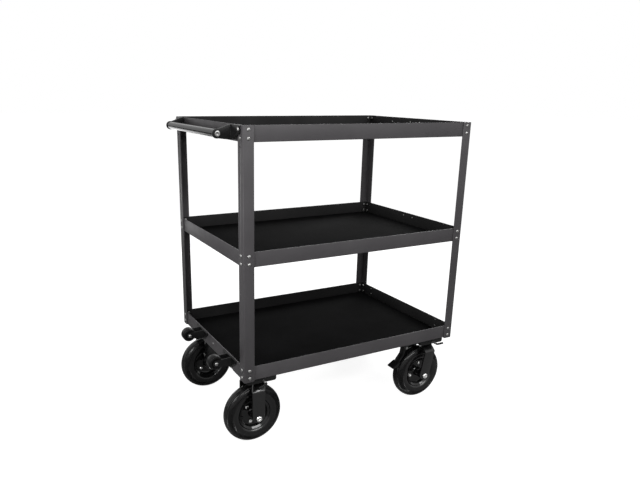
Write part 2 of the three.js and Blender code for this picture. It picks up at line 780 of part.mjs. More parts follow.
// Brake lever: barrel on the pivot, an arm that clears the tyre, and a foot pedal
function brakeLever() {
  const shoeRadius = tyreRadius + brakeShoeGap;
  const elbowZ = crownTop - brakeArmElbowDrop;
  const kneeZ = crownTop - brakeArmKneeDrop;
  const pedalZ = crownTop - brakePedalDrop;
  const halfWidth = brakeHalfWidth - clearance;
  const armOutline = outlineOf([
    [brakePivotX + brakeBarrelRadius, brakePivotZ],
    [brakePivotX - brakeBarrelRadius, brakePivotZ],
    [-brakeArmElbow, elbowZ],
    [-brakeArmKnee, kneeZ],
    [-brakeArmKnee + brakeArmThickness, kneeZ - brakePedalThickness],
  ]);
  const barrel = bar('y', brakeBarrelRadius, [-halfWidth, halfWidth], [brakePivotX, brakePivotZ]);
  const arm = slice('y', armOutline, [-halfWidth, halfWidth]);
  const pedal = slice('y', outlineOf([
    [-brakeArmKnee + brakeArmThickness, kneeZ],
    [-brakeArmKnee, kneeZ],
    [-brakePedalReach, pedalZ],
    [-brakePedalReach, pedalZ - brakePedalThickness],
    [-brakeArmKnee + brakeArmThickness, kneeZ - 2 * brakePedalThickness],
  ]), [-brakePedalHalfWidth, brakePedalHalfWidth]);
  const bore = bar('y', brakePinRadius + clearance, [-halfWidth - overrun, halfWidth + overrun],
    [brakePivotX, brakePivotZ], boltSides);
  const tyreRoom = bar('y', shoeRadius, [-brakePedalHalfWidth - overrun, brakePedalHalfWidth + overrun],
    [-trail, tyreRadius], wheelSides * 2);
  return carve([barrel, arm, pedal], [bore, tyreRoom]);
}

// Headed pin through the fork's ears and the brake lever
function brakePin() {
  const seat = brakeEarOuter + clearance;
  const through = [brakePivotX, brakePivotZ];
  return carve([
    bar('y', brakePinRadius, [-seat - bite, seat + bite], through, boltSides),
    bar('y', brakePinHeadRadius, [-seat, -seat - brakePinHeadHeight], through, boltSides),
    bar('y', brakePinHeadRadius, [seat, seat + brakePinHeadHeight], through, boltSides),
  ]);
}

// One caster at the corner given by the signs sx and sy, with its rim bolts at the given angle
function caster(corner, sx, sy, boltAngle) {
  const group = new THREE.Group();
  group.position.set(sx * (frameHalfLength - kingpinInsetX), sy * (frameHalfWidth - kingpinInsetY), 0);
  const braked = sx > 0;
  group.add(
    piece(`mount_box_${corner}`, mountBox(sy), 'frame'),
    piece(`caster_plate_${corner}`, casterPlate(), 'caster'),
    piece(`kingpin_${corner}`, kingpin(sy), 'screw'),
    piece(`fork_${corner}`, fork(braked), 'caster'),
    piece(`lock_pin_${corner}`, lockPin(sx, sy), 'fitting'),
  );
  if (braked) {
    group.add(
      piece(`brake_lever_${corner}`, brakeLever(), 'fitting'),
      piece(`brake_pin_${corner}`, brakePin(), 'screw'),
    );
  }
  const wheel = new THREE.Group();
  wheel.position.set(-trail, 0, tyreRadius);
  wheel.add(
    piece(`tyre_${corner}`, tyre(), 'tyre'),
    piece(`rim_${corner}`, rim(boltAngle), 'rim'),
    piece(`axle_bolt_${corner}`, axleBolt(), 'screw'),
  );
  group.add(wheel);
  return group;
}

// Whole cart

const rimBoltAngles = {
  front_left: Math.PI * 133 / 180,
  front_right: Math.PI * 82 / 180,
  rear_left: Math.PI * 100 / 180,
  rear_right: Math.PI * 40 / 180,
};

function cart() {
  const whole = new THREE.Group();
  for (const [shelf, underside] of Object.entries(shelfUndersides)) {
    whole.add(piece(`shelf_${shelf}`, shelfTray(underside), 'frame'));
    whole.add(piece(`mat_${shelf}`, shelfMat(underside), 'mat'));
  }
  for (const [end, sx] of [['left', -1], ['right', 1]]) {
    for (const [row, sy] of [['front', -1], ['rear', 1]]) {
      const corner = `${row}_${end}`;
      whole.add(piece(`corner_post_${corner}`, cornerPost(sx, sy), 'frame'));
      whole.add(caster(corner, sx, sy, rimBoltAngles[corner]));
    }
  }
  whole.add(piece('handle_tube', handleTube(), 'handle'));
  for (const [row, sy] of [['front', -1], ['rear', 1]]) {
    whole.add(piece(`handle_bracket_${row}`, handleBracket(sy), 'fitting'));
    whole.add(piece(`handle_screw_${row}`, handleScrew(sy), 'screw'));
    const middle = sy * (frameHalfWidth - (sy < 0 ? bumperInsetFront : bumperInsetRear));
    const bracket = piece(`bumper_bracket_${row}`, bumperBracket(), 'fitting');
    const roller = piece(`bumper_roller_${row}`, bumperRoller(), 'roller');
    const axle = piece(`bumper_axle_${row}`, bumperAxle(), 'screw');
    bracket.position.y = middle;
    roller.position.set(bumperAxisX, middle, bumperAxisZ);
    axle.position.set(bumperAxisX, middle, bumperAxisZ);
    whole.add(bracket, roller, axle);
  }
  return whole;
}

// The origin goes under the middle of all that sticks out at the two ends
const reachLeft = Math.max(-bumperAxisX + bumperRadius, -handleAxisX + handleNoseRadius);
const reachRight = frameHalfLength - kingpinInsetX - trail + tyreRadius;
const model = cart();
model.position.x = (reachLeft - reachRight) / 2;

export default model;
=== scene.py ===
# %% [markdown]
# # A camera cart, step by step
#
# This lesson dresses a three-shelf camera cart: lipped steel trays bolted between four angle posts,
# a push handle and two rubber bumper rollers at one end, and four swivel casters with small air tyres.
# The construction comes packed as a fixed frame with every size and joint. Each cell below models one
# kind of piece over its plain solid, gives it a finish, and lets it ride on the body that moves it.

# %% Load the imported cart
import math

import bmesh
import bpy
from mathutils import Matrix, Vector


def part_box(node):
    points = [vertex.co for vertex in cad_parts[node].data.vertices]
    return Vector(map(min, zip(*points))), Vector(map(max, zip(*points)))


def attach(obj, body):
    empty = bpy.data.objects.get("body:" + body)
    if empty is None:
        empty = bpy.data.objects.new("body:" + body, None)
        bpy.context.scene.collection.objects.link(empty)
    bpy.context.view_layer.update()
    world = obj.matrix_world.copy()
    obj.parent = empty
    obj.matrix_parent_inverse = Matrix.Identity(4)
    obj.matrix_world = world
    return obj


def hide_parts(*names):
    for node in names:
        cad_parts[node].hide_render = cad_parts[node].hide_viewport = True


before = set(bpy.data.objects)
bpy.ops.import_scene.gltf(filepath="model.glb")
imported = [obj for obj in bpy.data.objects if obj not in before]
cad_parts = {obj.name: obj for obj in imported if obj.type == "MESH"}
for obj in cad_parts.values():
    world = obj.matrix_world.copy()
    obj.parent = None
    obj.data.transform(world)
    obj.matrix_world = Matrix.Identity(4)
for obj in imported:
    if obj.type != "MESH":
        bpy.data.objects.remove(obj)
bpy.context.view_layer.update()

# %% [markdown]
# ## The camera
#
# The picture was taken from the cart's front left, a little above the top shelf, with a normal lens.
# The camera stands where the corners of the frame fall on the same places as in the picture. Its two
# turns are a heading and a tilt, and a very small roll that the real tripod had.

# %% Camera at the picture's place
heading = math.radians(-28.43)
tilt = math.radians(16.62)
roll = math.radians(0.89)
backward = Vector((
    math.sin(heading) * math.cos(tilt),
    -math.cos(heading) * math.cos(tilt),
    math.sin(tilt),
))
level_right = Vector((math.cos(heading), math.sin(heading), 0))
level_up = backward.cross(level_right)
right = math.cos(roll) * level_right + math.sin(roll) * level_up
up = math.cos(roll) * level_up - math.sin(roll) * level_right
bpy.ops.object.camera_add(location=(0, 0, 0))
camera = bpy.context.object
camera.name = "photo_camera"
camera_place = Vector((-1.1586, -1.9930, 1.2182))
camera.matrix_world = Matrix.Translation(camera_place) @ Matrix((
    (right.x, up.x, backward.x, 0),
    (right.y, up.y, backward.y, 0),
    (right.z, up.z, backward.z, 0),
    (0, 0, 0, 1),
))
camera.data.sensor_width = 36
camera.data.lens = 33.723
camera.data.shift_x = 0.04555
camera.data.shift_y = 0.04727
bpy.context.scene.camera = camera
print("camera at", [round(value, 3) for value in camera.matrix_world.translation])

# %% [markdown]
# ## Working in millimetres
#
# A cart like this is drawn in millimetres, while Blender counts in metres. One small helper turns a
# point in millimetres into metres, so every number below can be read like a workshop drawing. Another
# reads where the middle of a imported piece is. The top shelf gives the cart's middle along its length.

# %% Millimetres and the cart's middle
mm = 0.001


def at(x, y, z):
    """A point given in millimetres, in Blender's metres."""
    return Vector((x * mm, y * mm, z * mm))


def centre_of(node):
    """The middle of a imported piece's box, in millimetres."""
    return [(low + high) / 2 / mm for low, high in zip(*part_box(node))]


middle_x = centre_of("shelf_top")[0]
print("middle of the frame along X:", round(middle_x, 1), "mm")

# %% [markdown]
# ## Drawing an outline
#
# Most parts of the cart are plates: cut from sheet or bar along an outline. The outline is drawn as by
# hand: one vertex is set down and extruded from corner to corner. Filling it gives a face, and
# extruding the face gives the plate. Corners can carry a radius, because no cut or bent part is sharp.

# %% Outlines with rounded corners
def rounded(corners, steps=6):
    """Turns corners given as (across, up, radius) into an outline with real arcs."""
    outline = []
    for index, (across, rise, radius) in enumerate(corners):
        corner = Vector((across, rise))
        if radius == 0:
            outline.append(tuple(corner))
            continue
        before = (Vector(corners[index - 1][:2]) - corner).normalized()
        after = (Vector(corners[(index + 1) % len(corners)][:2]) - corner).normalized()
        half = before.angle(after) / 2
        centre = corner + (before + after).normalized() * (radius / math.sin(half))
        reach = radius / math.tan(half)
        first = corner + before * reach - centre
        last = corner + after * reach - centre
        for step in range(steps + 1):
            outline.append(tuple(centre + radius * first.slerp(last, step / steps).normalized()))
    return outline


def arc(across, rise, radius, start, end, steps):
    """Points on a circle, from the angle start to the angle end, in degrees."""
    turns = [math.radians(start + (end - start) * step / steps) for step in range(steps + 1)]
    return [(across + radius * math.cos(t), rise + radius * math.sin(t)) for t in turns]


def circle(across, rise, radius, steps):
    """An even polygon."""
    return arc(across, rise, radius, 0, 360, steps)[:-1]


# %% Plates pulled from an outline
def pulled(way):
    """Extrudes what is selected, by a vector in metres."""
    bpy.ops.mesh.extrude_region_move(TRANSFORM_OT_translate={"value": way})


def draw_line(name, points):
    """Sets down one vertex and pulls it on from point to point."""
    if bpy.context.object and bpy.context.object.mode != "OBJECT":
        bpy.ops.object.mode_set(mode="OBJECT")
    bpy.ops.object.select_all(action="DESELECT")
    bpy.ops.mesh.primitive_plane_add(size=mm)
    piece = bpy.context.object
    piece.name = name
    piece.data.name = name
    bpy.ops.object.mode_set(mode="EDIT")
    bpy.ops.mesh.select_mode(type="VERT")
    bpy.ops.mesh.merge(type="CENTER")
    bpy.ops.transform.translate(value=at(*points[0]))
    for here, there in zip(points, points[1:]):
        pulled(at(*there) - at(*here))
    return piece


def on_axis(axis, across, rise, along):
    """Puts an outline's two numbers into the plane across an axis."""
    if axis == "x":
        return (along, across, rise)
    if axis == "y":
        return (across, along, rise)
    return (across, rise, along)


def outwards(merge=0):
    """Ends a spell in edit mode: merges doubles where asked, and turns every face outwards."""
    bpy.ops.mesh.select_all(action="SELECT")
    if merge:
        bpy.ops.mesh.remove_doubles(threshold=merge)
    bpy.ops.mesh.normals_make_consistent(inside=False)
    bpy.ops.object.mode_set(mode="OBJECT")


def slab(name, outline, axis, low, high):
    """A plate with this outline, from low to high along the axis."""
    piece = draw_line(name, [on_axis(axis, a, b, low) for a, b in outline])
    bpy.ops.mesh.select_all(action="SELECT")
    bpy.ops.mesh.edge_face_add()
    bpy.ops.mesh.select_all(action="SELECT")
    pulled(at(*on_axis(axis, 0, 0, high - low)))
    outwards()
    return piece


# %% [markdown]
# ## Turned parts
#
# Wheels, rollers, bolts and the handle come from a lathe or a mould. Half of their section is drawn
# as a line and spun round the axis. The seam and the poles are merged afterwards, and the faces are
# turned outwards, because a spin can leave them inside out. Where both ends of a part are alike, only
# one end is written down, and a helper adds the other.

# %% Parts spun from half a section
seam = 0.01 * mm


def turned(name, section, axis, centre, steps, closed=False):
    """Spins (radius, along) points about an axis through a centre, all in millimetres."""
    points = []
    for radius, along in section + section[:1] * closed:
        points.append([c + o for c, o in zip(centre, on_axis(axis, radius, 0, along))])
    piece = draw_line(name, points)
    line = on_axis(axis, 0, 0, 1)
    bpy.ops.mesh.select_all(action="SELECT")
    bpy.ops.mesh.spin(steps=steps, angle=2 * math.pi, center=at(*centre), axis=line)
    outwards(seam)
    return piece


def both_ends(half, between=()):
    """A section whose second half mirrors the first, with points of its own in between."""
    return [*half, *between, *[(radius, -along) for radius, along in reversed(half)]]


# %% [markdown]
# ## Cutting, joining and easing edges
#
# Holes and notches are cut with a Boolean and a throw-away tool shape. Edges get a small bevel: a
# powder coat always rounds them, and that thin round is what catches the light in the picture.

# %% Helpers that finish a shape
def only(*pieces):
    """Selects these pieces and nothing else."""
    bpy.ops.object.select_all(action="DESELECT")
    for piece in pieces:
        piece.select_set(True)
    bpy.context.view_layer.objects.active = pieces[0]


def boolean(piece, tool, operation="DIFFERENCE"):
    """Cuts, joins or intersects with a tool shape, which is then thrown away."""
    change = piece.modifiers.new("change", "BOOLEAN")
    change.object = tool
    change.operation = operation
    change.solver = "EXACT"
    only(piece)
    bpy.ops.object.modifier_apply(modifier=change.name)
    bpy.data.objects.remove(tool)
    bpy.ops.object.mode_set(mode="EDIT")
    bpy.ops.mesh.select_all(action="SELECT")
    bpy.ops.mesh.remove_doubles(threshold=2 * seam)
    bpy.ops.object.mode_set(mode="OBJECT")


def eased(piece, width, segments=2, angle=35):
    """Rounds every edge that is sharper than the angle."""
    only(piece)
    edge = piece.modifiers.new("edge", "BEVEL")
    edge.width = width * mm
    edge.segments = segments
    edge.limit_method = "ANGLE"
    edge.angle_limit = math.radians(angle)
    bpy.ops.object.modifier_apply(modifier=edge.name)
    return piece


def joined(name, pieces):
    """Makes one object of several shapes."""
    only(*pieces)
    bpy.ops.object.join()
    whole = bpy.context.object
    whole.name = name
    whole.data.name = name
    return whole


as_drawn = (1, 1, 1)
front_to_rear = (1, -1, 1)


def copied(piece, name, move=(0, 0, 0), turn=None, flip=as_drawn):
    """Copies a piece with its own mesh: flipped, turned about the origin (axis, degrees) and moved."""
    only(piece)
    bpy.ops.object.duplicate()
    twin = bpy.context.object
    twin.name = name
    twin.data.name = name
    place = Matrix.Translation(at(*move))
    if turn:
        place = place @ Matrix.Rotation(math.radians(turn[1]), 4, turn[0])
    twin.matrix_world = place @ Matrix.Diagonal((*flip, 1))
    bpy.ops.object.transform_apply(location=True, rotation=True, scale=True)
    if flip != as_drawn:
        bpy.ops.object.mode_set(mode="EDIT")
        outwards()
    return twin


def drop(*pieces):
    """Removes patterns that were only there to be copied."""
    for piece in pieces:
        bpy.data.objects.remove(piece)


# %% [markdown]
# ## Finishes
#
# A finish is a shader with its colour, gloss and fine relief. Patterns are laid out in Object
# coordinates, so they stay on the piece when it moves. A few small helpers keep each finish short:
# a noise pattern, a blend of colour and one of gloss that follow the pattern, and the fine relief.

# %% Helpers for finishes
def add_node(tree, kind, **values):
    """A new node. Values go into the sockets of those names, an underscore being a space."""
    node = tree.nodes.new("ShaderNode" + kind)
    for socket, value in values.items():
        node.inputs[socket.replace("_", " ")].default_value = value
    return node


def new_finish(name, metallic=0.0, specular=0.5):
    """A new material, its shader, and the coordinates that its patterns use."""
    finish = bpy.data.materials.new(name)
    finish.use_nodes = True
    shader = finish.node_tree.nodes["Principled BSDF"]
    shader.inputs["Metallic"].default_value = metallic
    shader.inputs["Specular IOR Level"].default_value = specular
    return finish, shader, add_node(finish.node_tree, "TexCoord").outputs["Object"]


def noise(place, scale, detail=3.0):
    """A cloudy pattern with so many grains to the metre."""
    cloud = add_node(place.id_data, "TexNoise", Scale=scale, Detail=detail)
    place.id_data.links.new(place, cloud.inputs["Vector"])
    return cloud.outputs["Fac"]


def blend_colour(shader, pattern, dark, light):
    """Lets the colour wander between two tones."""
    tree = shader.id_data
    ramp = add_node(tree, "ValToRGB")
    for stop, position, tone in zip(ramp.color_ramp.elements, (0.35, 0.65), (dark, light)):
        stop.position = position
        stop.color = (*tone, 1)
    tree.links.new(pattern, ramp.inputs["Fac"])
    tree.links.new(ramp.outputs["Color"], shader.inputs["Base Color"])


def blend_roughness(shader, pattern, smooth, rough):
    """Lets the gloss wander between two values."""
    tree = shader.id_data
    spread = add_node(tree, "MapRange", From_Min=0.3, From_Max=0.7, To_Min=smooth, To_Max=rough)
    tree.links.new(pattern, spread.inputs["Value"])
    tree.links.new(spread.outputs["Result"], shader.inputs["Roughness"])


def relief(shader, pattern, strength, depth):
    """Fine bumps, with their depth in millimetres."""
    tree = shader.id_data
    bump = add_node(tree, "Bump", Strength=strength, Distance=depth * mm)
    tree.links.new(pattern, bump.inputs["Height"])
    tree.links.new(bump.outputs["Normal"], shader.inputs["Normal"])


# %% [markdown]
# ### Paint
#
# The frame is powder coated in charcoal: a satin skin with a fine orange peel. Inside, the trays get a
# near-black coat that is painted shade in their hollow. Brackets wear a plain black coat, and the mount
# boxes the same black as painted shade under the shelf. The forks wear a slightly glossier black, and
# the handle and rims a glossy black enamel with a clear, hard highlight.

# %% Paints
def paint(name, dark, light, smooth, rough, peel, depth, specular):
    """A paint: two close tones, a gloss that varies a little, and an orange peel."""
    finish, shader, place = new_finish(name, specular=specular)
    blend_colour(shader, noise(place, 6.0), dark, light)
    blend_roughness(shader, noise(place, 22.0), smooth, rough)
    relief(shader, noise(place, peel, 2.0), 0.35, depth)
    return finish


charcoal = paint("charcoal_powder_coat", (0.058, 0.0548, 0.058), (0.068, 0.0648, 0.068),
                 0.40, 0.50, 620.0, 0.06, specular=0.22)
# The near-black inside of the trays is painted shade for their hollow, not a coat of its own.
tray_inside_painted_shade = paint("tray_inside_painted_shade_coat", (0.0095, 0.0093, 0.0095), (0.013, 0.0127, 0.013),
                    0.50, 0.60, 620.0, 0.06, specular=0.13)
# This black is the fittings' own coat, and on the mount boxes it is painted shade under the shelf.
black_fittings_and_mount_shade = paint("black_coat_and_painted_mount_shade", (0.005, 0.005, 0.0052), (0.008, 0.008, 0.0082),
                      0.30, 0.40, 700.0, 0.05, specular=0.2)
fork_black = paint("fork_black_coat", (0.003, 0.003, 0.0031), (0.005, 0.005, 0.0051),
                   0.15, 0.21, 500.0, 0.01, specular=0.6)
gloss_black = paint("gloss_black_enamel", (0.003, 0.003, 0.0032), (0.005, 0.005, 0.0052),
                    0.10, 0.16, 300.0, 0.01, specular=0.4)
handle_black = paint("handle_black_enamel", (0.006, 0.006, 0.0062), (0.009, 0.009, 0.0092),
                     0.12, 0.18, 420.0, 0.01, specular=0.13)
print("paints:", charcoal.name, tray_inside_painted_shade.name, black_fittings_and_mount_shade.name, gloss_black.name)

# %% [markdown]
# ### Metal, rubber and the shelf liner
#
# The bolts are zinc plated: bright at the wheels, duller on the frame and the handle. Tyres and rollers
# are black rubber, and the liner is a matt black mat with a fine grain. Both metals and both rubbers
# share a recipe, and differ only in tone and gloss.

# %% Metal and rubber
def plated(name, dark, light, smooth, rough):
    """Zinc plate: a metal with fine grain."""
    finish, shader, place = new_finish(name, metallic=1.0)
    blend_colour(shader, noise(place, 60.0), dark, light)
    blend_roughness(shader, noise(place, 240.0), smooth, rough)
    relief(shader, noise(place, 900.0), 0.2, 0.03)
    return finish


def black_rubber(name, dark, light, smooth, rough, specular):
    """Rubber with a cloudy tone and a fine grain."""
    finish, shader, place = new_finish(name, specular=specular)
    blend_colour(shader, noise(place, 14.0), dark, light)
    blend_roughness(shader, noise(place, 45.0), smooth, rough)
    relief(shader, noise(place, 1200.0), 0.1, 0.01)
    return finish


bright_zinc = plated("bright_zinc", (0.80, 0.80, 0.79), (0.92, 0.92, 0.91), 0.16, 0.26)
dull_zinc = plated("dull_zinc", (0.26, 0.26, 0.255), (0.38, 0.38, 0.375), 0.32, 0.44)
tyre_rubber = black_rubber("tyre_rubber", (0.003, 0.003, 0.0032), (0.005, 0.005, 0.0052),
                           0.18, 0.24, 0.42)
roller_rubber = black_rubber("roller_rubber", (0.003, 0.003, 0.0031), (0.005, 0.005, 0.0051),
                             0.35, 0.45, 0.12)

liner, liner_shader, liner_place = new_finish("matt_liner", specular=0.035)
grain = noise(liner_place, 900.0, 2.0)
clouds = noise(liner_place, 9.0)
blend_colour(liner_shader, clouds, (0.0016, 0.0016, 0.0017), (0.0034, 0.0034, 0.0036))
blend_roughness(liner_shader, grain, 0.85, 0.98)
relief(liner_shader, grain, 0.6, 0.25)
print("finishes in all:", len(bpy.data.materials))


# %% [markdown]
# ## Handing a piece over
#
# Each finished piece is shaded smooth up to an angle, gets its finish, rides on the body that moves
# it, and stands in for its plain solid, which stays in the simulation and is no longer shown.

# %% Hand a piece over to its body
smooth_below = math.radians(30)


def hand_over(piece, finish, body, slot, *nodes):
    """Shades, paints and mounts a piece, and hides the plain solids that it stands for."""
    only(piece)
    bpy.ops.object.shade_smooth_by_angle(angle=smooth_below)
    if finish:
        piece.data.materials.clear()
        piece.data.materials.append(finish)
    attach(piece, body)
    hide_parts(*nodes)


# %% [markdown]
# ## The shelves
#
# Each shelf is one sheet of steel with its four sides bent up to a lip. A box with its top face
# deleted is that shape. The bends come from a bevel, and Solidify gives the sheet its 2.5 mm. The
# outside is charcoal, and what looks inwards gets a near-black coat of painted shade, face by face.

# %% Three trays
shelf_low, shelf_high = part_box("shelf_top")
shelf_half_length = (shelf_high.x - shelf_low.x) / 2 / mm
shelf_half_width = (shelf_high.y - shelf_low.y) / 2 / mm
sheet = 2.5
lip_height = 51
bend_radius = 3
shelf_undersides = {name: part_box("shelf_" + name)[0].z / mm for name in ("bottom", "middle", "top")}


def select_where(kind, wanted):
    """Selects vertices, edges or faces in edit mode by a test on each one."""
    bpy.ops.mesh.select_mode(type={"verts": "VERT", "edges": "EDGE", "faces": "FACE"}[kind])
    bpy.ops.mesh.select_all(action="DESELECT")
    mesh = bpy.context.object.data
    shape = bmesh.from_edit_mesh(mesh)
    for item in getattr(shape, kind):
        item.select_set(bool(wanted(item)))
    bmesh.update_edit_mesh(mesh)


def open_tray(name, underside):
    """A box without its top, bent, and given the thickness of its sheet."""
    bpy.ops.object.select_all(action="DESELECT")
    bpy.ops.mesh.primitive_cube_add(size=1, location=at(middle_x, 0, underside + lip_height / 2))
    tray = bpy.context.object
    tray.name = name
    tray.scale = at(2 * shelf_half_length, 2 * shelf_half_width, lip_height)
    bpy.ops.object.transform_apply(location=True, rotation=True, scale=True)
    bpy.ops.object.mode_set(mode="EDIT")
    select_where("faces", lambda face: face.normal.z > 0.9)
    bpy.ops.mesh.delete(type="FACE")
    select_where("edges", lambda edge: not edge.is_boundary)
    bpy.ops.mesh.bevel(offset=bend_radius * mm, segments=4, affect="EDGES")
    bpy.ops.object.mode_set(mode="OBJECT")
    wall = tray.modifiers.new("sheet", "SOLIDIFY")
    wall.thickness = sheet * mm
    wall.offset = -1
    wall.use_even_offset = True
    bpy.ops.object.modifier_apply(modifier=wall.name)
    return eased(tray, 0.6, 2, 60)


def inside_faces(tray, underside):
    """Gives the painted-shade finish to the faces that look into the tray."""
    for face in tray.data.polygons:
        x = abs(face.center.x / mm - middle_x)
        y = abs(face.center.y / mm)
        rise = face.center.z / mm - underside
        within = x < shelf_half_length - sheet + 0.1 and y < shelf_half_width - sheet + 0.1
        face.material_index = int(within and 1.2 < rise < lip_height - 0.7)


for shelf, underside in shelf_undersides.items():
    tray = open_tray("tray_" + shelf, underside)
    tray.data.materials.append(charcoal)
    # The second finish paints shade onto the faces inside the tray.
    tray.data.materials.append(tray_inside_painted_shade)
    inside_faces(tray, underside)
    hand_over(tray, None, "frame", "frame", "shelf_" + shelf)
print("tray faces:", len(tray.data.polygons), "undersides:", shelf_undersides)

# %% [markdown]
# ## The liners
#
# A flat rubber mat lies loose in each tray, so that cases don't slide or rattle. It is a plate of the
# packed mat's size, with its corners cut round and a soft upper edge. Its fine grain and the faint
# clouds in its black come from the finish.

# %% Liner mats
mat_corner = 6
for shelf in shelf_undersides:
    low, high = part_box("mat_" + shelf)
    x0, y0, z0 = (value / mm for value in low)
    x1, y1, z1 = (value / mm for value in high)
    outline = rounded([(x, y, mat_corner) for x, y in ((x0, y0), (x1, y0), (x1, y1), (x0, y1))])
    mat = eased(slab("liner_" + shelf, outline, "z", z0, z1), 0.9, 3, 60)
    hand_over(mat, liner, "frame", "mat", "mat_" + shelf)

# %% [markdown]
# ## The corner posts
#
# The posts are steel angle, 38 mm on each side and 3 mm thick, with a rounded heel. Drawing the L in
# plan and pulling it up is how the mill makes it too. The free lower corners are cut round, and the
# left-hand posts have a spare hole below the top shelf. One post is drawn and mirrored for the rest.

# %% Angle posts
post_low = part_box("corner_post_front_left")[0].z / mm
post_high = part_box("corner_post_front_left")[1].z / mm
flange = 38
post_thickness = 3
play = 0.3
frame_half_length = shelf_half_length + post_thickness + play
frame_half_width = shelf_half_width + post_thickness + play
heel_x = -frame_half_length
heel_y = -frame_half_width
post_plan = rounded([
    (heel_x, heel_y, 4.2),
    (heel_x + flange, heel_y, 0.8),
    (heel_x + flange, heel_y + post_thickness, 0.8),
    (heel_x + post_thickness, heel_y + post_thickness, 1.4),
    (heel_x + post_thickness, heel_y + flange, 0.8),
    (heel_x, heel_y + flange, 0.8),
])
post = slab("post_pattern", post_plan, "z", post_low, post_high)


def corner_scrap(axis, tip, outer_face, radius=5, spare=2):
    """The waste that is cut off to round a flange's lower free corner."""
    curve = arc(tip - radius, post_low + radius, radius, 0, -90, 9)
    outline = [(tip + spare, post_low + radius), *curve, (tip - radius, post_low - spare),
               (tip + spare, post_low - spare)]
    return slab("scrap", outline, axis, outer_face - 1, outer_face + post_thickness + 1)


boolean(post, corner_scrap("y", heel_x + flange, heel_y))
boolean(post, corner_scrap("x", heel_y + flange, heel_x))
drilled = copied(post, "post_drilled")
spare_hole = circle(heel_y + 20, shelf_undersides["top"] - 14, 3.5, 20)
boolean(drilled, slab("hole", spare_hole, "x", heel_x - 1, heel_x + post_thickness + 1))
eased(post, 0.35, 2, 50)
eased(drilled, 0.35, 2, 50)

corners = {
    "front_left": (-1, -1),
    "rear_left": (-1, 1),
    "front_right": (1, -1),
    "rear_right": (1, 1),
}
for corner, (sx, sy) in corners.items():
    pattern = drilled if sx < 0 else post
    twin = copied(pattern, "angle_" + corner, (middle_x, 0, 0), flip=(-sx, -sy, 1))
    hand_over(twin, charcoal, "frame", "frame", "corner_post_" + corner)
drop(post, drilled)
print("post plan corners:", len(post_plan))

# %% [markdown]
# ## The lip bolts
#
# Two bolts hold each lip to each post flange: 48 in all. A button-head bolt is a dome with a hexagon
# socket, and the nut sits inside the tray. One is modelled, copied to its places, and the copies of a
# post are joined, so that the outliner stays readable.

# %% One bolt with its nut
head_radius = 6
head_height = 4
shank = 3
nut_height = 5


def bolt_pattern(name, grip):
    """A button-head bolt along Y: the head stands out towards -Y from the seat at zero."""
    turns = [math.radians(15 + 75 * step / 6) for step in range(6)]
    dome = [(head_radius * math.sin(t), -head_height * math.cos(t) ** 0.8) for t in turns]
    tip = grip + nut_height + 0.3
    section = [(0, dome[0][1]), *dome, (head_radius, 0), (shank, 0), (shank, tip), (0, tip)]
    bolt = turned(name, section, "y", (0, 0, 0), 24)
    boolean(bolt, slab("socket", circle(0, 0, 2.3, 6), "y", -head_height - 1, -head_height + 2.2))
    nut = eased(slab("nut", circle(0, 0, 5.7, 6), "y", grip, grip + nut_height), 0.5, 2)
    return joined(name, [bolt, nut])


lip_grip = post_thickness + play + sheet + play
handle_grip = 5.6
bolt = bolt_pattern("bolt_pattern", lip_grip)
long_bolt = bolt_pattern("long_bolt_pattern", lip_grip + handle_grip)
print("one bolt has", len(bolt.data.polygons), "faces")

# %% All the lip bolts
outward_turn = {(0, -1): 0, (1, 0): 90, (0, 1): 180, (-1, 0): -90}
bolt_inset = 20
lower_bolt = 12
upper_bolt = 39
for corner, (sx, sy) in corners.items():
    copies = []
    x = middle_x + sx * (frame_half_length - bolt_inset)
    y = sy * (frame_half_width - bolt_inset)
    for shelf, underside in shelf_undersides.items():
        for rise in (lower_bolt, upper_bolt):
            side = (x, sy * frame_half_width, underside + rise)
            copies.append(copied(bolt, "lip_bolt", side, ("Z", outward_turn[(0, sy)])))
            holds_handle = sx < 0 and shelf == "top" and rise == upper_bolt
            reach = frame_half_length + handle_grip * holds_handle
            end = (middle_x + sx * reach, y, underside + rise)
            source = long_bolt if holds_handle else bolt
            copies.append(copied(source, "lip_bolt", end, ("Z", outward_turn[(sx, 0)])))
    bolts = joined("lip_bolts_" + corner, copies)
    hand_over(bolts, dull_zinc, "frame", "screw", "corner_post_" + corner)
print("lip bolts per post:", len(copies))

# %% [markdown]
# ## The small screws in the end walls
#
# Pairs of small round-head screws close the holes that are meant for accessories in the end walls.
# They are too small to matter for the construction, so they are modelled only here.

# %% Wall screws
wall_inside_right = middle_x + shelf_half_length - sheet
wall_outside_left = middle_x - shelf_half_length
screw_dome = [(0, -2.1), (1.6, -1.9), (2.7, -1.2), (3.2, 0), (0, 0)]
wall_screw = turned("wall_screw_pattern", screw_dome, "y", (0, 0, 0), 18)
inner_places = {
    "top": [(146, 1100), (26, 1103), (-32, 1104)],
    "middle": [(28, 711), (-30.5, 710)],
    "bottom": [(232, 314.5), (231, 290), (-224, 316), (-225, 290)],
}
screw_places = [(wall_inside_right, y, z) for spots in inner_places.values() for y, z in spots]
screw_places.append((wall_outside_left, -20, 302))
wall_screws = [copied(wall_screw, "screw", place, ("Z", -90)) for place in screw_places]
hand_over(joined("end_wall_screws", wall_screws), dull_zinc, "frame", "screw")
print("wall screws:", len(screw_places))

# %% [markdown]
# ## The push handle
#
# A black bar across the end, held by two folded brackets. The bar is turned with eased ends. Each
# bracket is a cheek that narrows to a round nose, and a foot that bolts to the post, so the two
# plates are drawn, joined, and their edges eased. A socket screw goes in from each side.

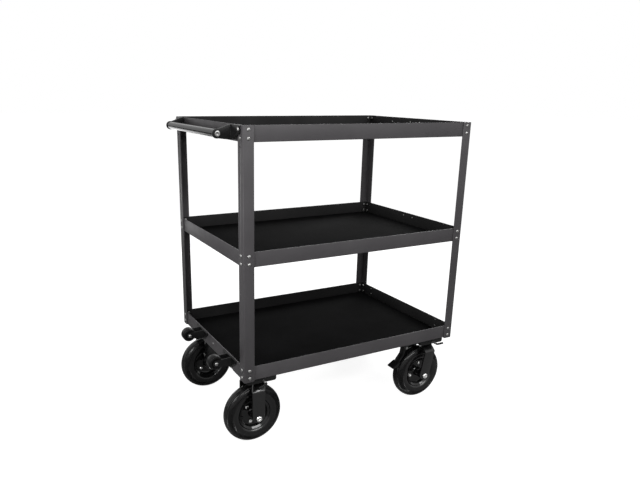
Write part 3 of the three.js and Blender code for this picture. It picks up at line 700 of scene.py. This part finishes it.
# %% Handle bar
bar_radius = 12.7
handle_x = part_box("handle_tube")[0].x / mm + bar_radius
handle_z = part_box("handle_tube")[0].z / mm + bar_radius
bar_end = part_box("handle_tube")[1].y / mm
handle_section = both_ends([(0, -bar_end), (bar_radius - 1, -bar_end), (bar_radius, -bar_end + 1)])
handle_bar = turned("push_bar", handle_section, "y", (handle_x, 0, handle_z), 72)
hand_over(handle_bar, handle_black, "frame", "handle", "handle_tube")
print("bar axis at:", round(handle_x, 1), round(handle_z, 1))

# %% Brackets of the handle
plate_thickness = 5
seat_x = -frame_half_length + middle_x - play
foot_x = seat_x - plate_thickness
foot_top = post_high
foot_low = post_high - 48
cheek_inside = -231
cheek_outside = cheek_inside - plate_thickness
foot_end = -302
pad_end = -277.7
nose = arc(handle_x, handle_z, 15, 76, 284, 28)
bracket_front = slab("handle_cheek_front", [
    (seat_x, foot_top), (foot_x, foot_top), *nose, (foot_x, foot_low), (seat_x, foot_low)],
    "y", cheek_outside, cheek_inside)
foot = slab("foot", rounded([
    (cheek_inside, foot_top, 0), (foot_end, foot_top, 4), (foot_end, foot_top - 26, 6),
    (cheek_outside, foot_low, 0), (cheek_inside, foot_low, 0)]), "x", foot_x, seat_x)
boolean(bracket_front, foot, "UNION")
pad = slab("pad", [
    (pad_end, foot_low + 3), (cheek_inside, foot_low + 3),
    (cheek_inside, foot_top - 2.5), (pad_end, foot_top - 2.5)], "x", seat_x - 0.6, seat_x + 3.3)
boolean(bracket_front, pad, "UNION")
eased(bracket_front, 0.8, 3, 40)
bracket_rear = copied(bracket_front, "handle_cheek_rear", flip=front_to_rear)
hand_over(bracket_front, black_fittings_and_mount_shade, "frame", "fitting", "handle_bracket_front")
hand_over(bracket_rear, black_fittings_and_mount_shade, "frame", "fitting", "handle_bracket_rear")
print("bracket faces:", len(bracket_front.data.polygons))

# %% Cap screws of the handle
cap_section = [(0, -242.3), (7.6, -242.3), (8.6, -241.9), (9, -241.1), (9, -236.9), (8.6, -236.3),
               (5, -236.3), (5, -211), (0, -211)]
cap_front = turned("cap_screw_front", cap_section, "y", (handle_x, 0, handle_z), 40)
boolean(cap_front, slab("socket", circle(handle_x, handle_z, 4.4, 6), "y", -244, -238.8))
eased(cap_front, 0.25, 2, 50)
cap_rear = copied(cap_front, "cap_screw_rear", flip=front_to_rear)
hand_over(cap_front, dull_zinc, "frame", "screw", "handle_screw_front")
hand_over(cap_rear, dull_zinc, "frame", "screw", "handle_screw_rear")
print("cap screws:", cap_front.name, cap_rear.name)

# %% [markdown]
# ## The bumper rollers
#
# Two rubber rollers keep the cart's end off door frames. A shield-shaped plate sits on the bottom
# shelf's lip with two cheeks that hold the axle. The roller is turned, with rounded shoulders and a
# shallow dish in each end, and the axle bolt has a small domed head.

# %% Bumper brackets
roller_x, _, roller_z = centre_of("bumper_roller_front")
plate_x = middle_x - shelf_half_length - play
plate_top = shelf_undersides["bottom"] + 49
plate_foot = shelf_undersides["bottom"] + 5
shield = slab("bumper_plate", rounded([
    (-58, plate_top, 2), (-58, plate_top - 11, 5), (-10, plate_foot, 6),
    (10, plate_foot, 6), (58, plate_top - 11, 5), (58, plate_top, 2)]), "x", plate_x - 4, plate_x)
cheek_nose = arc(roller_x, roller_z, 12, 90, 270, 20)
cheek_outline = [(plate_x - 0.6, plate_top), *cheek_nose, (plate_x - 0.6, plate_foot + 11)]
for near, far in ((-20.6, -16.6), (16.6, 20.6)):
    boolean(shield, slab("cheek", cheek_outline, "y", near, far), "UNION")
eased(shield, 0.6, 2, 40)
print("bumper bracket faces:", len(shield.data.polygons))

# %% Rollers and their axle bolts
roller_section = both_ends([
    (4.3, -13), (14, -13), (16, -16), (20.5, -16), (22.6, -15.4), (24.2, -13.9), (25, -11.8)])
roller = turned("bumper_roller", roller_section, "y", (roller_x, 0, roller_z), 72, closed=True)

bumper_axle = turned("bumper_bolt", [
    (0, -24.9), (2.5, -24.6), (5, -23.7), (6.4, -22.4), (7, -20.9), (4, -20.9), (4, 20.9), (7, 20.9),
    (7, 23.5), (5.6, 24.9), (0, 24.9)], "y", (roller_x, 0, roller_z), 24)

for row in ("front", "rear"):
    move = (0, centre_of("bumper_roller_" + row)[1], 0)
    for piece, name, finish, body, slot, node in (
            (shield, "bumper_shield_", black_fittings_and_mount_shade, "frame", "fitting", "bumper_bracket_"),
            (roller, "rubber_roller_", roller_rubber, "roller_" + row, "roller", "bumper_roller_"),
            (bumper_axle, "roller_bolt_", dull_zinc, "frame", "screw", "bumper_axle_")):
        hand_over(copied(piece, name + row, move), finish, body, slot, node + row)
    print("roller of the", row, "at", round(move[1], 1))
drop(shield, roller, bumper_axle)

# %% [markdown]
# ## The casters: plate, race and mount box
#
# The four casters are alike, so each part is modelled once, round the line of the kingpin with the
# floor at zero height, and then copied to the corners. Here come the parts that stay still: the
# shallow box under the shelf, the top plate with the fixed half of the race, and its four bolts.

# %% Mount box
box_outer = -78.7
box_inner = box_outer + 125
box_left = -71
box_right = 39.6
box_wall = 3
mount_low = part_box("mount_box_front_left")[0].z / mm
mount_high = mount_low + 15
mount_box = slab("mount_box", rounded([
    (box_left, mount_high, 0), (box_left, mount_low, 7),
    (box_right, mount_low, 7), (box_right, mount_high, 0)], 8), "y", box_outer, box_inner)
hollow_left = box_left + box_wall
hollow_right = box_right - box_wall
hollow_low = mount_low + box_wall
boolean(mount_box, slab("hollow", [
    (hollow_left, hollow_low), (hollow_right, hollow_low),
    (hollow_right, mount_high + 2), (hollow_left, mount_high + 2)],
    "y", box_outer + box_wall, box_inner - box_wall))
guide_top = mount_high - 0.6
guide = slab("guide", [(-20, mount_low + 2.4), (-4, mount_low + 2.4), (-4, guide_top), (-20, guide_top)],
             "y", box_outer + 0.6, box_outer + 17)
boolean(mount_box, guide, "UNION")
pin_x = -12
pin_z = mount_low + 9
kingpin_way = 8.3
guide_boss = slab("boss", circle(pin_x, pin_z, 5.9, 28), "y", box_outer - 3.5, box_outer + 1)
boolean(mount_box, guide_boss, "UNION")
boolean(mount_box, slab("pin_way", circle(pin_x, pin_z, 4.3, 28), "y", box_outer - 6, box_outer + 20))
boolean(mount_box, slab("way", circle(0, 0, kingpin_way, 40), "z", mount_low - 2, mount_low + 5))
eased(mount_box, 0.4, 2, 40)
print("mount box from", mount_low, "to", mount_high)

# %% Top plate, upper race and its bolts
race_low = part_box("caster_plate_front_left")[0].z / mm
plate_low = race_low + 4.3
plate_high = plate_low + plate_thickness
top_plate = slab("top_plate", rounded([(-38, -44, 7), (38, -44, 7), (38, 44, 7), (-38, 44, 7)]), "z",
                 plate_low, plate_high)
boolean(top_plate, slab("hole", circle(0, 0, kingpin_way, 40), "z", plate_low - 2, plate_high + 2))
eased(top_plate, 0.6, 2, 40)
upper_race = turned("upper_race", [
    (kingpin_way, race_low), (29, race_low), (32, plate_low - 3.4), (33, plate_low - 1.6),
    (33, plate_low + 0.3), (kingpin_way, plate_low + 0.3)], "z", (0, 0, 0), 64, closed=True)
top_plate = joined("top_plate", [top_plate, upper_race])

plate_bolt = bolt_pattern("plate_bolt_pattern", hollow_low + play - plate_low)
plate_bolts = joined("plate_bolts", [
    copied(plate_bolt, "plate_bolt", (x, y, plate_low), ("X", 90)) for x in (-28, 28) for y in (-34, 34)])
drop(plate_bolt)
print("plate from", round(plate_low, 1), "to", round(plate_high, 1))

# %% [markdown]
# ## The fork
#
# The fork is one flat bar, bent over the wheel: a flat crown, two sloping shoulders and two legs. It
# is drawn twice. Seen from the front it is an arch with rounded bends, seen from the side a bar with a
# round foot at the axle. What the two drawings have in common is the fork. The legs of the left casters
# hang straight, those of the braked ones lean.

# %% Bent fork with the lower race
crown_low = 237
crown_high = 243
shoulder_z = crown_high - 30
axle_x = -17
axle_z = 109
fork_half = 24
foot_z = axle_z + 8
leg_end = foot_z - fork_half
leg_inside = 52
leg_outside = 58
arch = rounded([
    (-leg_outside, leg_end, 0), (-leg_inside, leg_end, 0), (-leg_inside, 210.5, 5),
    (-24.6, crown_low, 5), (24.6, crown_low, 5), (leg_inside, 210.5, 5), (leg_inside, leg_end, 0),
    (leg_outside, leg_end, 0), (leg_outside, shoulder_z, 10), (27, crown_high, 10),
    (-27, crown_high, 10), (-leg_outside, shoulder_z, 10)])
leg_foot = [(x, z, 0) for x, z in arc(axle_x, foot_z, fork_half, 180, 360, 30)]


def bent_fork(name, lean):
    """The bar's two drawings brought together, with the turning half of the race on its crown."""
    leg_top = axle_x + lean
    leg_side = rounded([
        (fork_half, crown_high + 2, 0), (-fork_half, crown_high + 2, 0), (-fork_half, crown_high, 4),
        (leg_top - fork_half, shoulder_z, 8), *leg_foot, (leg_top + fork_half, shoulder_z, 8),
        (fork_half, crown_high, 4)])
    bar = slab(name, arch, "x", -44, 44)
    boolean(bar, slab("side_view", leg_side, "y", -60, 60), "INTERSECT")
    eased(bar, 0.9, 3, 35)
    race = turned("lower_race", [
        (kingpin_way, crown_high - 1), (33, crown_high - 1), (35, crown_high + 1.4), (35, crown_high + 5),
        (34.2, crown_high + 5.7), (kingpin_way, crown_high + 5.7)], "z", (0, 0, 0), 64, closed=True)
    return joined(name, [bar, race])


fork = bent_fork("fork_plain", 0)
print("fork faces:", len(fork.data.polygons))

# %% [markdown]
# ### Ears for the brake
#
# On the two right-hand casters, a tongue runs back from the crown and ends in two ears. The brake
# lever hangs between them on a headed pin. Like the fork, the tongue is what its plan and its side view
# have in common.

# %% Fork with brake ears
ear_x = -88
tongue = slab("tongue", rounded([
    (-23.4, -18.3, 0), (-23.4, 18.3, 0), (-98, 18.3, 3), (-98, 13.3, 0), (-79, 13.3, 4),
    (-79, -13.3, 4), (-98, -13.3, 0), (-98, -18.3, 3)]), "z", 220, 245)
boolean(tongue, slab("side_view", rounded([
    (-20, crown_high, 0), (-98.3, crown_high, 3), (-98.3, 222, 9), (-78, 222, 9), (-78, crown_low, 0),
    (-20, crown_low, 0)]), "y", -20, 20), "INTERSECT")
eased(tongue, 0.7, 2, 40)
braked_fork = joined("fork_braked", [bent_fork("fork_leaning", 20), tongue])
print("braked fork faces:", len(braked_fork.data.polygons))

# %% [markdown]
# ## Kingpin and swivel lock
#
# The kingpin is the bolt that the fork turns on. Inside the box it carries a disc with four notches.
# A pin from the cart's side slides into a notch to lock the swivel, with a bent, rubber-sleeved end
# for the fingers. The sleeve is a disc that is extruded straight, spun round the bend, and extruded on.

# %% Kingpin with its notched disc
disc_low = pin_z - 2
disc_high = disc_low + 4
kingpin_section = [
    (0, 229.7), (11.6, 229.7), (13, 231), (13, 235.6), (12, 236.7), (8, 236.7), (8, disc_low),
    (25.4, disc_low), (26, disc_low + 0.6), (26, disc_high - 0.6), (25.4, disc_high), (12, disc_high),
    (12, disc_high + 2.4), (11.4, disc_high + 3), (0, disc_high + 3)]
kingpin = turned("kingpin", kingpin_section, "z", (0, 0, 0), 48)
notch_left = pin_x - 4.7
notch_right = pin_x + 4.7
notch = slab("notch", [(notch_left, -30), (notch_right, -30), (notch_right, -15), (notch_left, -15)],
             "z", disc_low - 2, disc_high + 5)
for quarter in range(4):
    boolean(kingpin, copied(notch, "notch_tool", turn=("Z", 90 * quarter)))
drop(notch)
eased(kingpin, 0.25, 2, 50)
print("kingpin faces:", len(kingpin.data.polygons))


# %% Lock pins with bent ends
sleeve_start = -103.2
sleeve_radius = 3.9
sleeve_straight = 1.5
sleeve_bend = 4
sleeve_reach = 24.5


def lock_pin(name, way):
    """The bright pin, and its black sleeve that bends towards -X (drooping) or +X."""
    rod_section = [(0, -27.5), (3, -27.5), (4, -28.5), (4, -99), (3.1, -100), (3.1, -106), (0, -106)]
    rod = turned(name + "_rod", rod_section, "y", (pin_x, 0, pin_z), 24)
    droop = math.radians(20) if way < 0 else 0
    along = Vector((way * math.cos(droop), 0, -math.sin(droop)))
    start = (pin_x, sleeve_start, pin_z)
    sleeve = draw_line(name + "_sleeve", [start])
    bpy.ops.mesh.delete(type="VERT")
    bpy.ops.mesh.primitive_circle_add(vertices=20, radius=sleeve_radius * mm, fill_type="NGON",
                                      location=at(*start), rotation=(math.pi / 2, 0, 0))
    pulled(at(0, -sleeve_straight, 0))
    bend = at(pin_x, sleeve_start - sleeve_straight, pin_z) + along * sleeve_bend * mm
    bend_axis = Vector((0, -1, 0)).cross(along)
    bpy.ops.mesh.spin(steps=8, angle=-math.pi / 2, center=bend, axis=bend_axis)
    for reach in (sleeve_reach, sleeve_straight):
        pulled(along * reach * mm)
    bpy.ops.transform.resize(value=(0.6, 0.6, 0.6))
    outwards(seam)
    return rod, eased(sleeve, 0.5, 2, 50)


lock_left = lock_pin("lock_left", -1)
lock_right = lock_pin("lock_right", 1)
for part in (*lock_left, *lock_right):
    print(part.name, [round(value / mm, 1) for value in part.dimensions])

# %% [markdown]
# ## The foot brake
#
# Pressing the pedal swings the lever about its pin until its inner side meets the tyre. The lever is
# one block: a barrel on the pin, an arm that follows the tyre, and a broad flat pedal for the foot. A
# cylinder a little larger than the tyre is cut away from it, so the face that is left fits the tyre.

# %% Brake lever and its pin
pivot_z = 230
arm_half = 12.7
lever = slab("brake_lever", rounded([
    (-81, pivot_z, 0), (-95, pivot_z, 0), (-99, 202, 6), (-124, 171, 8), (-110, 165, 0)]),
    "y", -arm_half, arm_half)
barrel = slab("barrel", circle(ear_x, pivot_z, 7, 32), "y", -arm_half, arm_half)
boolean(lever, barrel, "UNION")
pedal = slab("pedal", rounded([
    (-110, 171, 0), (-124, 171, 3), (-151, 155, 0), (-151, 149, 2), (-110, 159, 0)]), "y", -18, 18)
boolean(lever, pedal, "UNION")
room_radius = 116
boolean(lever, slab("tyre_room", circle(axle_x, axle_z, room_radius, 160), "y", -20, 20))
boolean(lever, slab("bore", circle(ear_x, pivot_z, 3.3, 24), "y", -15, 15))
eased(lever, 0.7, 2, 40)
brake_pin_section = both_ends([(0, -21.1), (4.2, -21.1), (5, -20.4), (5, -18.6), (3, -18.6)])
brake_pin = turned("brake_pin", brake_pin_section, "y", (ear_x, 0, pivot_z), 24)
print("lever faces:", len(lever.data.polygons))

# %% [markdown]
# ## The tyre
#
# The small air tyre has smooth walls, grooves round the tread, and a fine row of cross ribs on each
# shoulder. The section is a squared ellipse between two beads, and its walls sink towards the rim.
# Spinning it with four steps to a rib leaves rows of vertices that can be sunk two by two, which is
# how the mould cuts the ribs.

# %% Tyre section
section_centre = 80
section_height = 29
half_width = 28
squareness = 0.85


def bulge(turn):
    """A point of the squared ellipse: radius and offset from the tyre's middle."""
    rise = math.copysign(abs(math.sin(turn)) ** squareness, math.sin(turn))
    side = math.copysign(abs(math.cos(turn)) ** squareness, math.cos(turn))
    return (section_centre + section_height * rise, half_width * side)


def crown_radius(offset):
    """The tread's radius at an offset from the tyre's middle."""
    side = (abs(offset) / half_width) ** (1 / squareness)
    return section_centre + section_height * (1 - side * side) ** (squareness / 2)


bead = [(54.3, -18.3), (57, -20.6), (60.3, -20.6), (64.6, -25.2), (68, -26.9)]
bead_turn = 0.6435
turns = [math.pi + bead_turn - (math.pi / 2 + bead_turn) * step / 22 for step in range(22)]
wall = [(radius, offset) for radius, offset in map(bulge, turns) if offset < -19 and radius > 69.5]
groove_depth = 1.7
groove_half_width = 1.5
groove_half_floor = 0.9
tread = []
for middle in (-14.4, -7.2, 0, 7.2, 14.4):
    near = middle - groove_half_width
    far = middle + groove_half_width
    sunk = crown_radius(middle) - groove_depth
    tread += [(crown_radius(near), near), (sunk, middle - groove_half_floor),
              (sunk, middle + groove_half_floor), (crown_radius(far), far)]
tyre_section = both_ends(bead + wall, tread)
print("points in the tyre's section:", len(tyre_section))

# %% Tyre with shoulder ribs
rib_steps = 4 * 146
rib_depth = 2
tyre = turned("tyre_pattern", tyre_section, "y", (0, 0, 0), rib_steps, closed=True)


def in_rib_gap(vertex):
    """True for the two of every four meridians that are sunk, on the shoulders only."""
    radius = math.hypot(vertex.co.x, vertex.co.z) / mm
    meridian = round(math.atan2(vertex.co.z, vertex.co.x) / (2 * math.pi) * rib_steps)
    on_shoulder = 86 < radius < 106.3 and abs(vertex.co.y) > 17 * mm
    return on_shoulder and meridian % 4 < 2


only(tyre)
bpy.ops.object.mode_set(mode="EDIT")
select_where("verts", in_rib_gap)
bpy.ops.transform.shrink_fatten(value=-rib_depth * mm)
bpy.ops.object.mode_set(mode="OBJECT")
tyre = copied(tyre, "tyre_round", (axle_x, 0, axle_z))
drop(bpy.data.objects["tyre_pattern"])
print("tyre faces:", len(tyre.data.polygons))

# %% [markdown]
# ## The rim, its bolts and the axle
#
# The rim is two pressed steel halves bolted together, black and glossy, with a rolled lip against the
# tyre's bead and a tube through the middle for the axle. Bright clamp bolts stand in the dish, and a
# rubber valve stem points out of it, because an air tyre has to be filled.

# %% Rim
rim_section = both_ends([
    (6.6, -51.4), (15.5, -51.4), (17, -50), (17, -9), (19.5, -5.6), (24, -4), (44, -4), (48.6, -5.6),
    (51, -9.5), (51, -17), (51.5, -18.4), (56.6, -22.4), (57.6, -23.3), (58.5, -23.8), (59.2, -23.4),
    (59.5, -22.3), (58.9, -21.2), (56.7, -20.9), (54.1, -18.6)])
rim = turned("rim_pattern", rim_section, "y", (0, 0, 0), 120, closed=True)

bolt_circle = 36
valve_circle = 44
rim_bolt = eased(slab("rim_bolt", circle(bolt_circle, 0, 7, 6), "y", -9.2, 9.2), 0.8, 2)
stud_section = both_ends([(0, -11), (2.8, -11), (3.6, -10.2)])
stud = turned("stud", stud_section, "y", (bolt_circle, 0, 0), 18)
rim_bolt = joined("rim_bolt", [rim_bolt, stud])
valve_section = [(0, -17), (2.4, -17), (2.9, -16.4), (2.9, -12.5), (3.6, -12), (4.4, -4), (0, -4)]
valve = turned("valve_pattern", valve_section, "y", (valve_circle, 0, 0), 20)
print("rim faces:", len(rim.data.polygons))

# %% Axle bolt
axle = 6.3
head_seat = -59.8
nut_seat = 58.3
axle_place = (axle_x, 0, axle_z)
axle_section = [
    (0, -63.4), (2.4, -63.4), (3.4, -65.3), (6.5, -65.5), (9.2, -64.3), (10.6, -62.4), (11, -60.4),
    (11, head_seat), (axle, head_seat), (axle, nut_seat), (0, nut_seat)]
axle_bolt = turned("axle_bolt", axle_section, "y", axle_place, 40)
axle_nut = slab("axle_nut", circle(axle_x, axle_z, 11, 6), "y", nut_seat, nut_seat + 8)
axle_bolt = joined("axle_bolt", [axle_bolt, eased(axle_nut, 0.9, 2)])
axle_washer = turned("axle_washer", [
    (axle, head_seat), (12.2, head_seat), (12.8, -59.3), (12.8, -58.2), (axle, -58.2)],
    "y", axle_place, 40, closed=True)
print("axle bolt length:", round(axle_bolt.dimensions.y / mm, 1))

# %% [markdown]
# ## Four casters in their corners
#
# Each part is copied to the four kingpins. The rear casters are mirrored, so their lock pins stick out
# at the rear long side. The clamp bolts of every rim stand at another angle, as they came to rest.

# %% Copies for the four corners
bolt_angles = {"front_left": 133, "rear_left": 100, "front_right": 82, "rear_right": 40}
for corner, (sx, sy) in corners.items():
    x, y, _ = centre_of("kingpin_" + corner)
    here = (x, y, 0)
    hub = (x + axle_x, y, axle_z)
    sided = front_to_rear if sy > 0 else as_drawn
    swivel = "swivel_" + corner
    lock = "lock_" + corner
    wheel = "wheel_" + corner
    brake = "brake_" + corner
    bar = braked_fork if sx > 0 else fork
    rod, sleeve = lock_right if sx > 0 else lock_left
    angle = bolt_angles[corner]
    clamps = joined("clamp_set", [
        copied(rim_bolt, "clamp", turn=("Y", -angle - 120 * index)) for index in range(3)])
    stem = copied(valve, "stem", turn=("Y", -angle - 60))
    brake_parts = [
        (lever, "foot_lever_", black_fittings_and_mount_shade, brake, "fitting", "brake_lever_", here, as_drawn),
        (brake_pin, "lever_pin_", dull_zinc, swivel, "screw", "brake_pin_", here, as_drawn),
    ]
    parts = [
        # The mount box gets the black coat as painted shade under the shelf.
        (mount_box, "mount_tray_", black_fittings_and_mount_shade, "frame", "frame", "mount_box_", here, sided),
        (top_plate, "swivel_plate_", fork_black, "frame", "caster", "caster_plate_", here, as_drawn),
        (plate_bolts, "plate_bolts_", dull_zinc, "frame", "screw", "caster_plate_", here, as_drawn),
        (kingpin, "swivel_pin_", dull_zinc, swivel, "screw", "kingpin_", here, sided),
        (bar, "wheel_fork_", fork_black, swivel, "caster", "fork_", here, as_drawn),
        (rod, "lock_rod_", dull_zinc, lock, "screw", "lock_pin_", here, sided),
        (sleeve, "lock_sleeve_", black_fittings_and_mount_shade, lock, "fitting", "lock_pin_", here, sided),
        *(brake_parts if sx > 0 else []),
        (tyre, "air_tyre_", tyre_rubber, wheel, "tyre", "tyre_", here, as_drawn),
        (axle_bolt, "wheel_bolt_", bright_zinc, swivel, "screw", "axle_bolt_", here, as_drawn),
        (axle_washer, "wheel_washer_", black_fittings_and_mount_shade, swivel, "fitting", "axle_bolt_", here, as_drawn),
        (rim, "steel_rim_", gloss_black, wheel, "rim", "rim_", hub, as_drawn),
        (clamps, "clamp_bolts_", bright_zinc, wheel, "screw", "rim_", hub, as_drawn),
        (stem, "valve_stem_", tyre_rubber, wheel, "tyre", "rim_", hub, as_drawn),
    ]
    for piece, name, finish, body, slot, node, place, flip in parts:
        twin = copied(piece, name + corner, place, flip=flip)
        hand_over(twin, finish, body, slot, node + corner)
    drop(clamps, stem)

drop(bolt, long_bolt, wall_screw, mount_box, top_plate, plate_bolts, kingpin, fork, braked_fork)
drop(*lock_left, *lock_right, lever, brake_pin, tyre, rim, rim_bolt, valve, axle_bolt, axle_washer)

# %% [markdown]
# ## Studio
#
# A white room: a white floor that keeps a faint shadow, a white world behind it, and soft lamps. The
# world is white only for what the camera or a reflection sees, and plain for the light it gives. The
# floor is lifted towards white for the camera, more so further away, where the lamps do not reach.

# %% Floor
bpy.ops.object.select_all(action="DESELECT")
bpy.ops.mesh.primitive_plane_add(size=60, location=(0, 0, 0))
floor = bpy.context.object
floor.name = "studio_floor"
white = bpy.data.materials.new("studio_white")
white.use_nodes = True
tree = white.node_tree
tree.nodes.clear()
lift = add_node(tree, "Emission", Color=(1, 1, 1, 1))
lit = add_node(tree, "BsdfDiffuse", Color=(0.5, 0.5, 0.5, 1))
both = add_node(tree, "AddShader")
place = add_node(tree, "TexCoord")
seen = add_node(tree, "LightPath")
share = add_node(tree, "Math")
share.operation = "MULTIPLY"
distance = add_node(tree, "VectorMath")
distance.operation = "LENGTH"
spread = add_node(tree, "MapRange", From_Min=1.2, From_Max=5.0, To_Min=0.89, To_Max=0.96)
out = add_node(tree, "OutputMaterial")
for source, target in (
        (place.outputs["Object"], distance.inputs[0]),
        (distance.outputs["Value"], spread.inputs["Value"]),
        (spread.outputs["Result"], share.inputs[1]),
        (seen.outputs["Is Camera Ray"], share.inputs[0]),
        (share.outputs[0], lift.inputs["Strength"]),
        (lift.outputs[0], both.inputs[0]),
        (lit.outputs[0], both.inputs[1]),
        (both.outputs[0], out.inputs["Surface"])):
    tree.links.new(source, target)
floor.data.materials.append(white)
print("floor:", round(floor.dimensions.x), "m wide")

# %% World
world = bpy.data.worlds.new("white_room")
bpy.context.scene.world = world
world.use_nodes = True
sky = world.node_tree
background = sky.nodes["Background"]
background.inputs["Color"].default_value = (1, 1, 1, 1)
ray = add_node(sky, "LightPath")
either = add_node(sky, "Math")
either.operation = "MAXIMUM"
glossy = add_node(sky, "Math")
glossy.operation = "MAXIMUM"
world_light = 0.18
strength = add_node(sky, "MapRange", To_Min=world_light, To_Max=1.0)
for source, target in (
        (ray.outputs["Is Camera Ray"], either.inputs[0]),
        (ray.outputs["Is Glossy Ray"], glossy.inputs[0]),
        (ray.outputs["Is Transmission Ray"], glossy.inputs[1]),
        (glossy.outputs[0], either.inputs[1]),
        (either.outputs[0], strength.inputs["Value"]),
        (strength.outputs["Result"], background.inputs["Strength"])):
    sky.links.new(source, target)
print("world light:", world_light)


# %% Lamps
def softbox(name, place, target, width, height, power):
    """A rectangular lamp that looks at a point."""
    bpy.ops.object.light_add(type="AREA", location=place)
    lamp = bpy.context.object
    lamp.name = name
    lamp.data.shape = "RECTANGLE"
    lamp.data.size = width
    lamp.data.size_y = height
    lamp.data.energy = power
    lamp.visible_camera = False
    lamp.rotation_euler = (Vector(target) - Vector(place)).to_track_quat("-Z", "Y").to_euler()


softbox("key_left", (-1.2, -1.7, 2.2), (0, 0, 0.6), 0.4, 0.4, 10)
softbox("front_strip", (0.35, -2.4, 2.0), (0.0, 0, 0.45), 2.4, 0.35, 33)
softbox("shoulder_light", (0.65, -1.7, 2.4), (0, -0.3, 0.2), 0.7, 0.2, 6)
softbox("left_side", (-1.25, -0.6, 0.92), (-0.42, -0.1, 0.85), 0.35, 0.5, 7)
softbox("rear_fill", (1.9, 2.4, 1.8), (0, 0, 0.6), 2.0, 1.2, 34)
softbox("rear_low", (-0.4, 2.6, 0.42), (-0.4, 0, 0.42), 1.4, 0.6, 7)

# %% [markdown]
# ## The view transform
#
# The colours are shown with Blender's Standard view transform.

# %% Standard view transform
bpy.context.scene.view_settings.view_transform = "Standard"
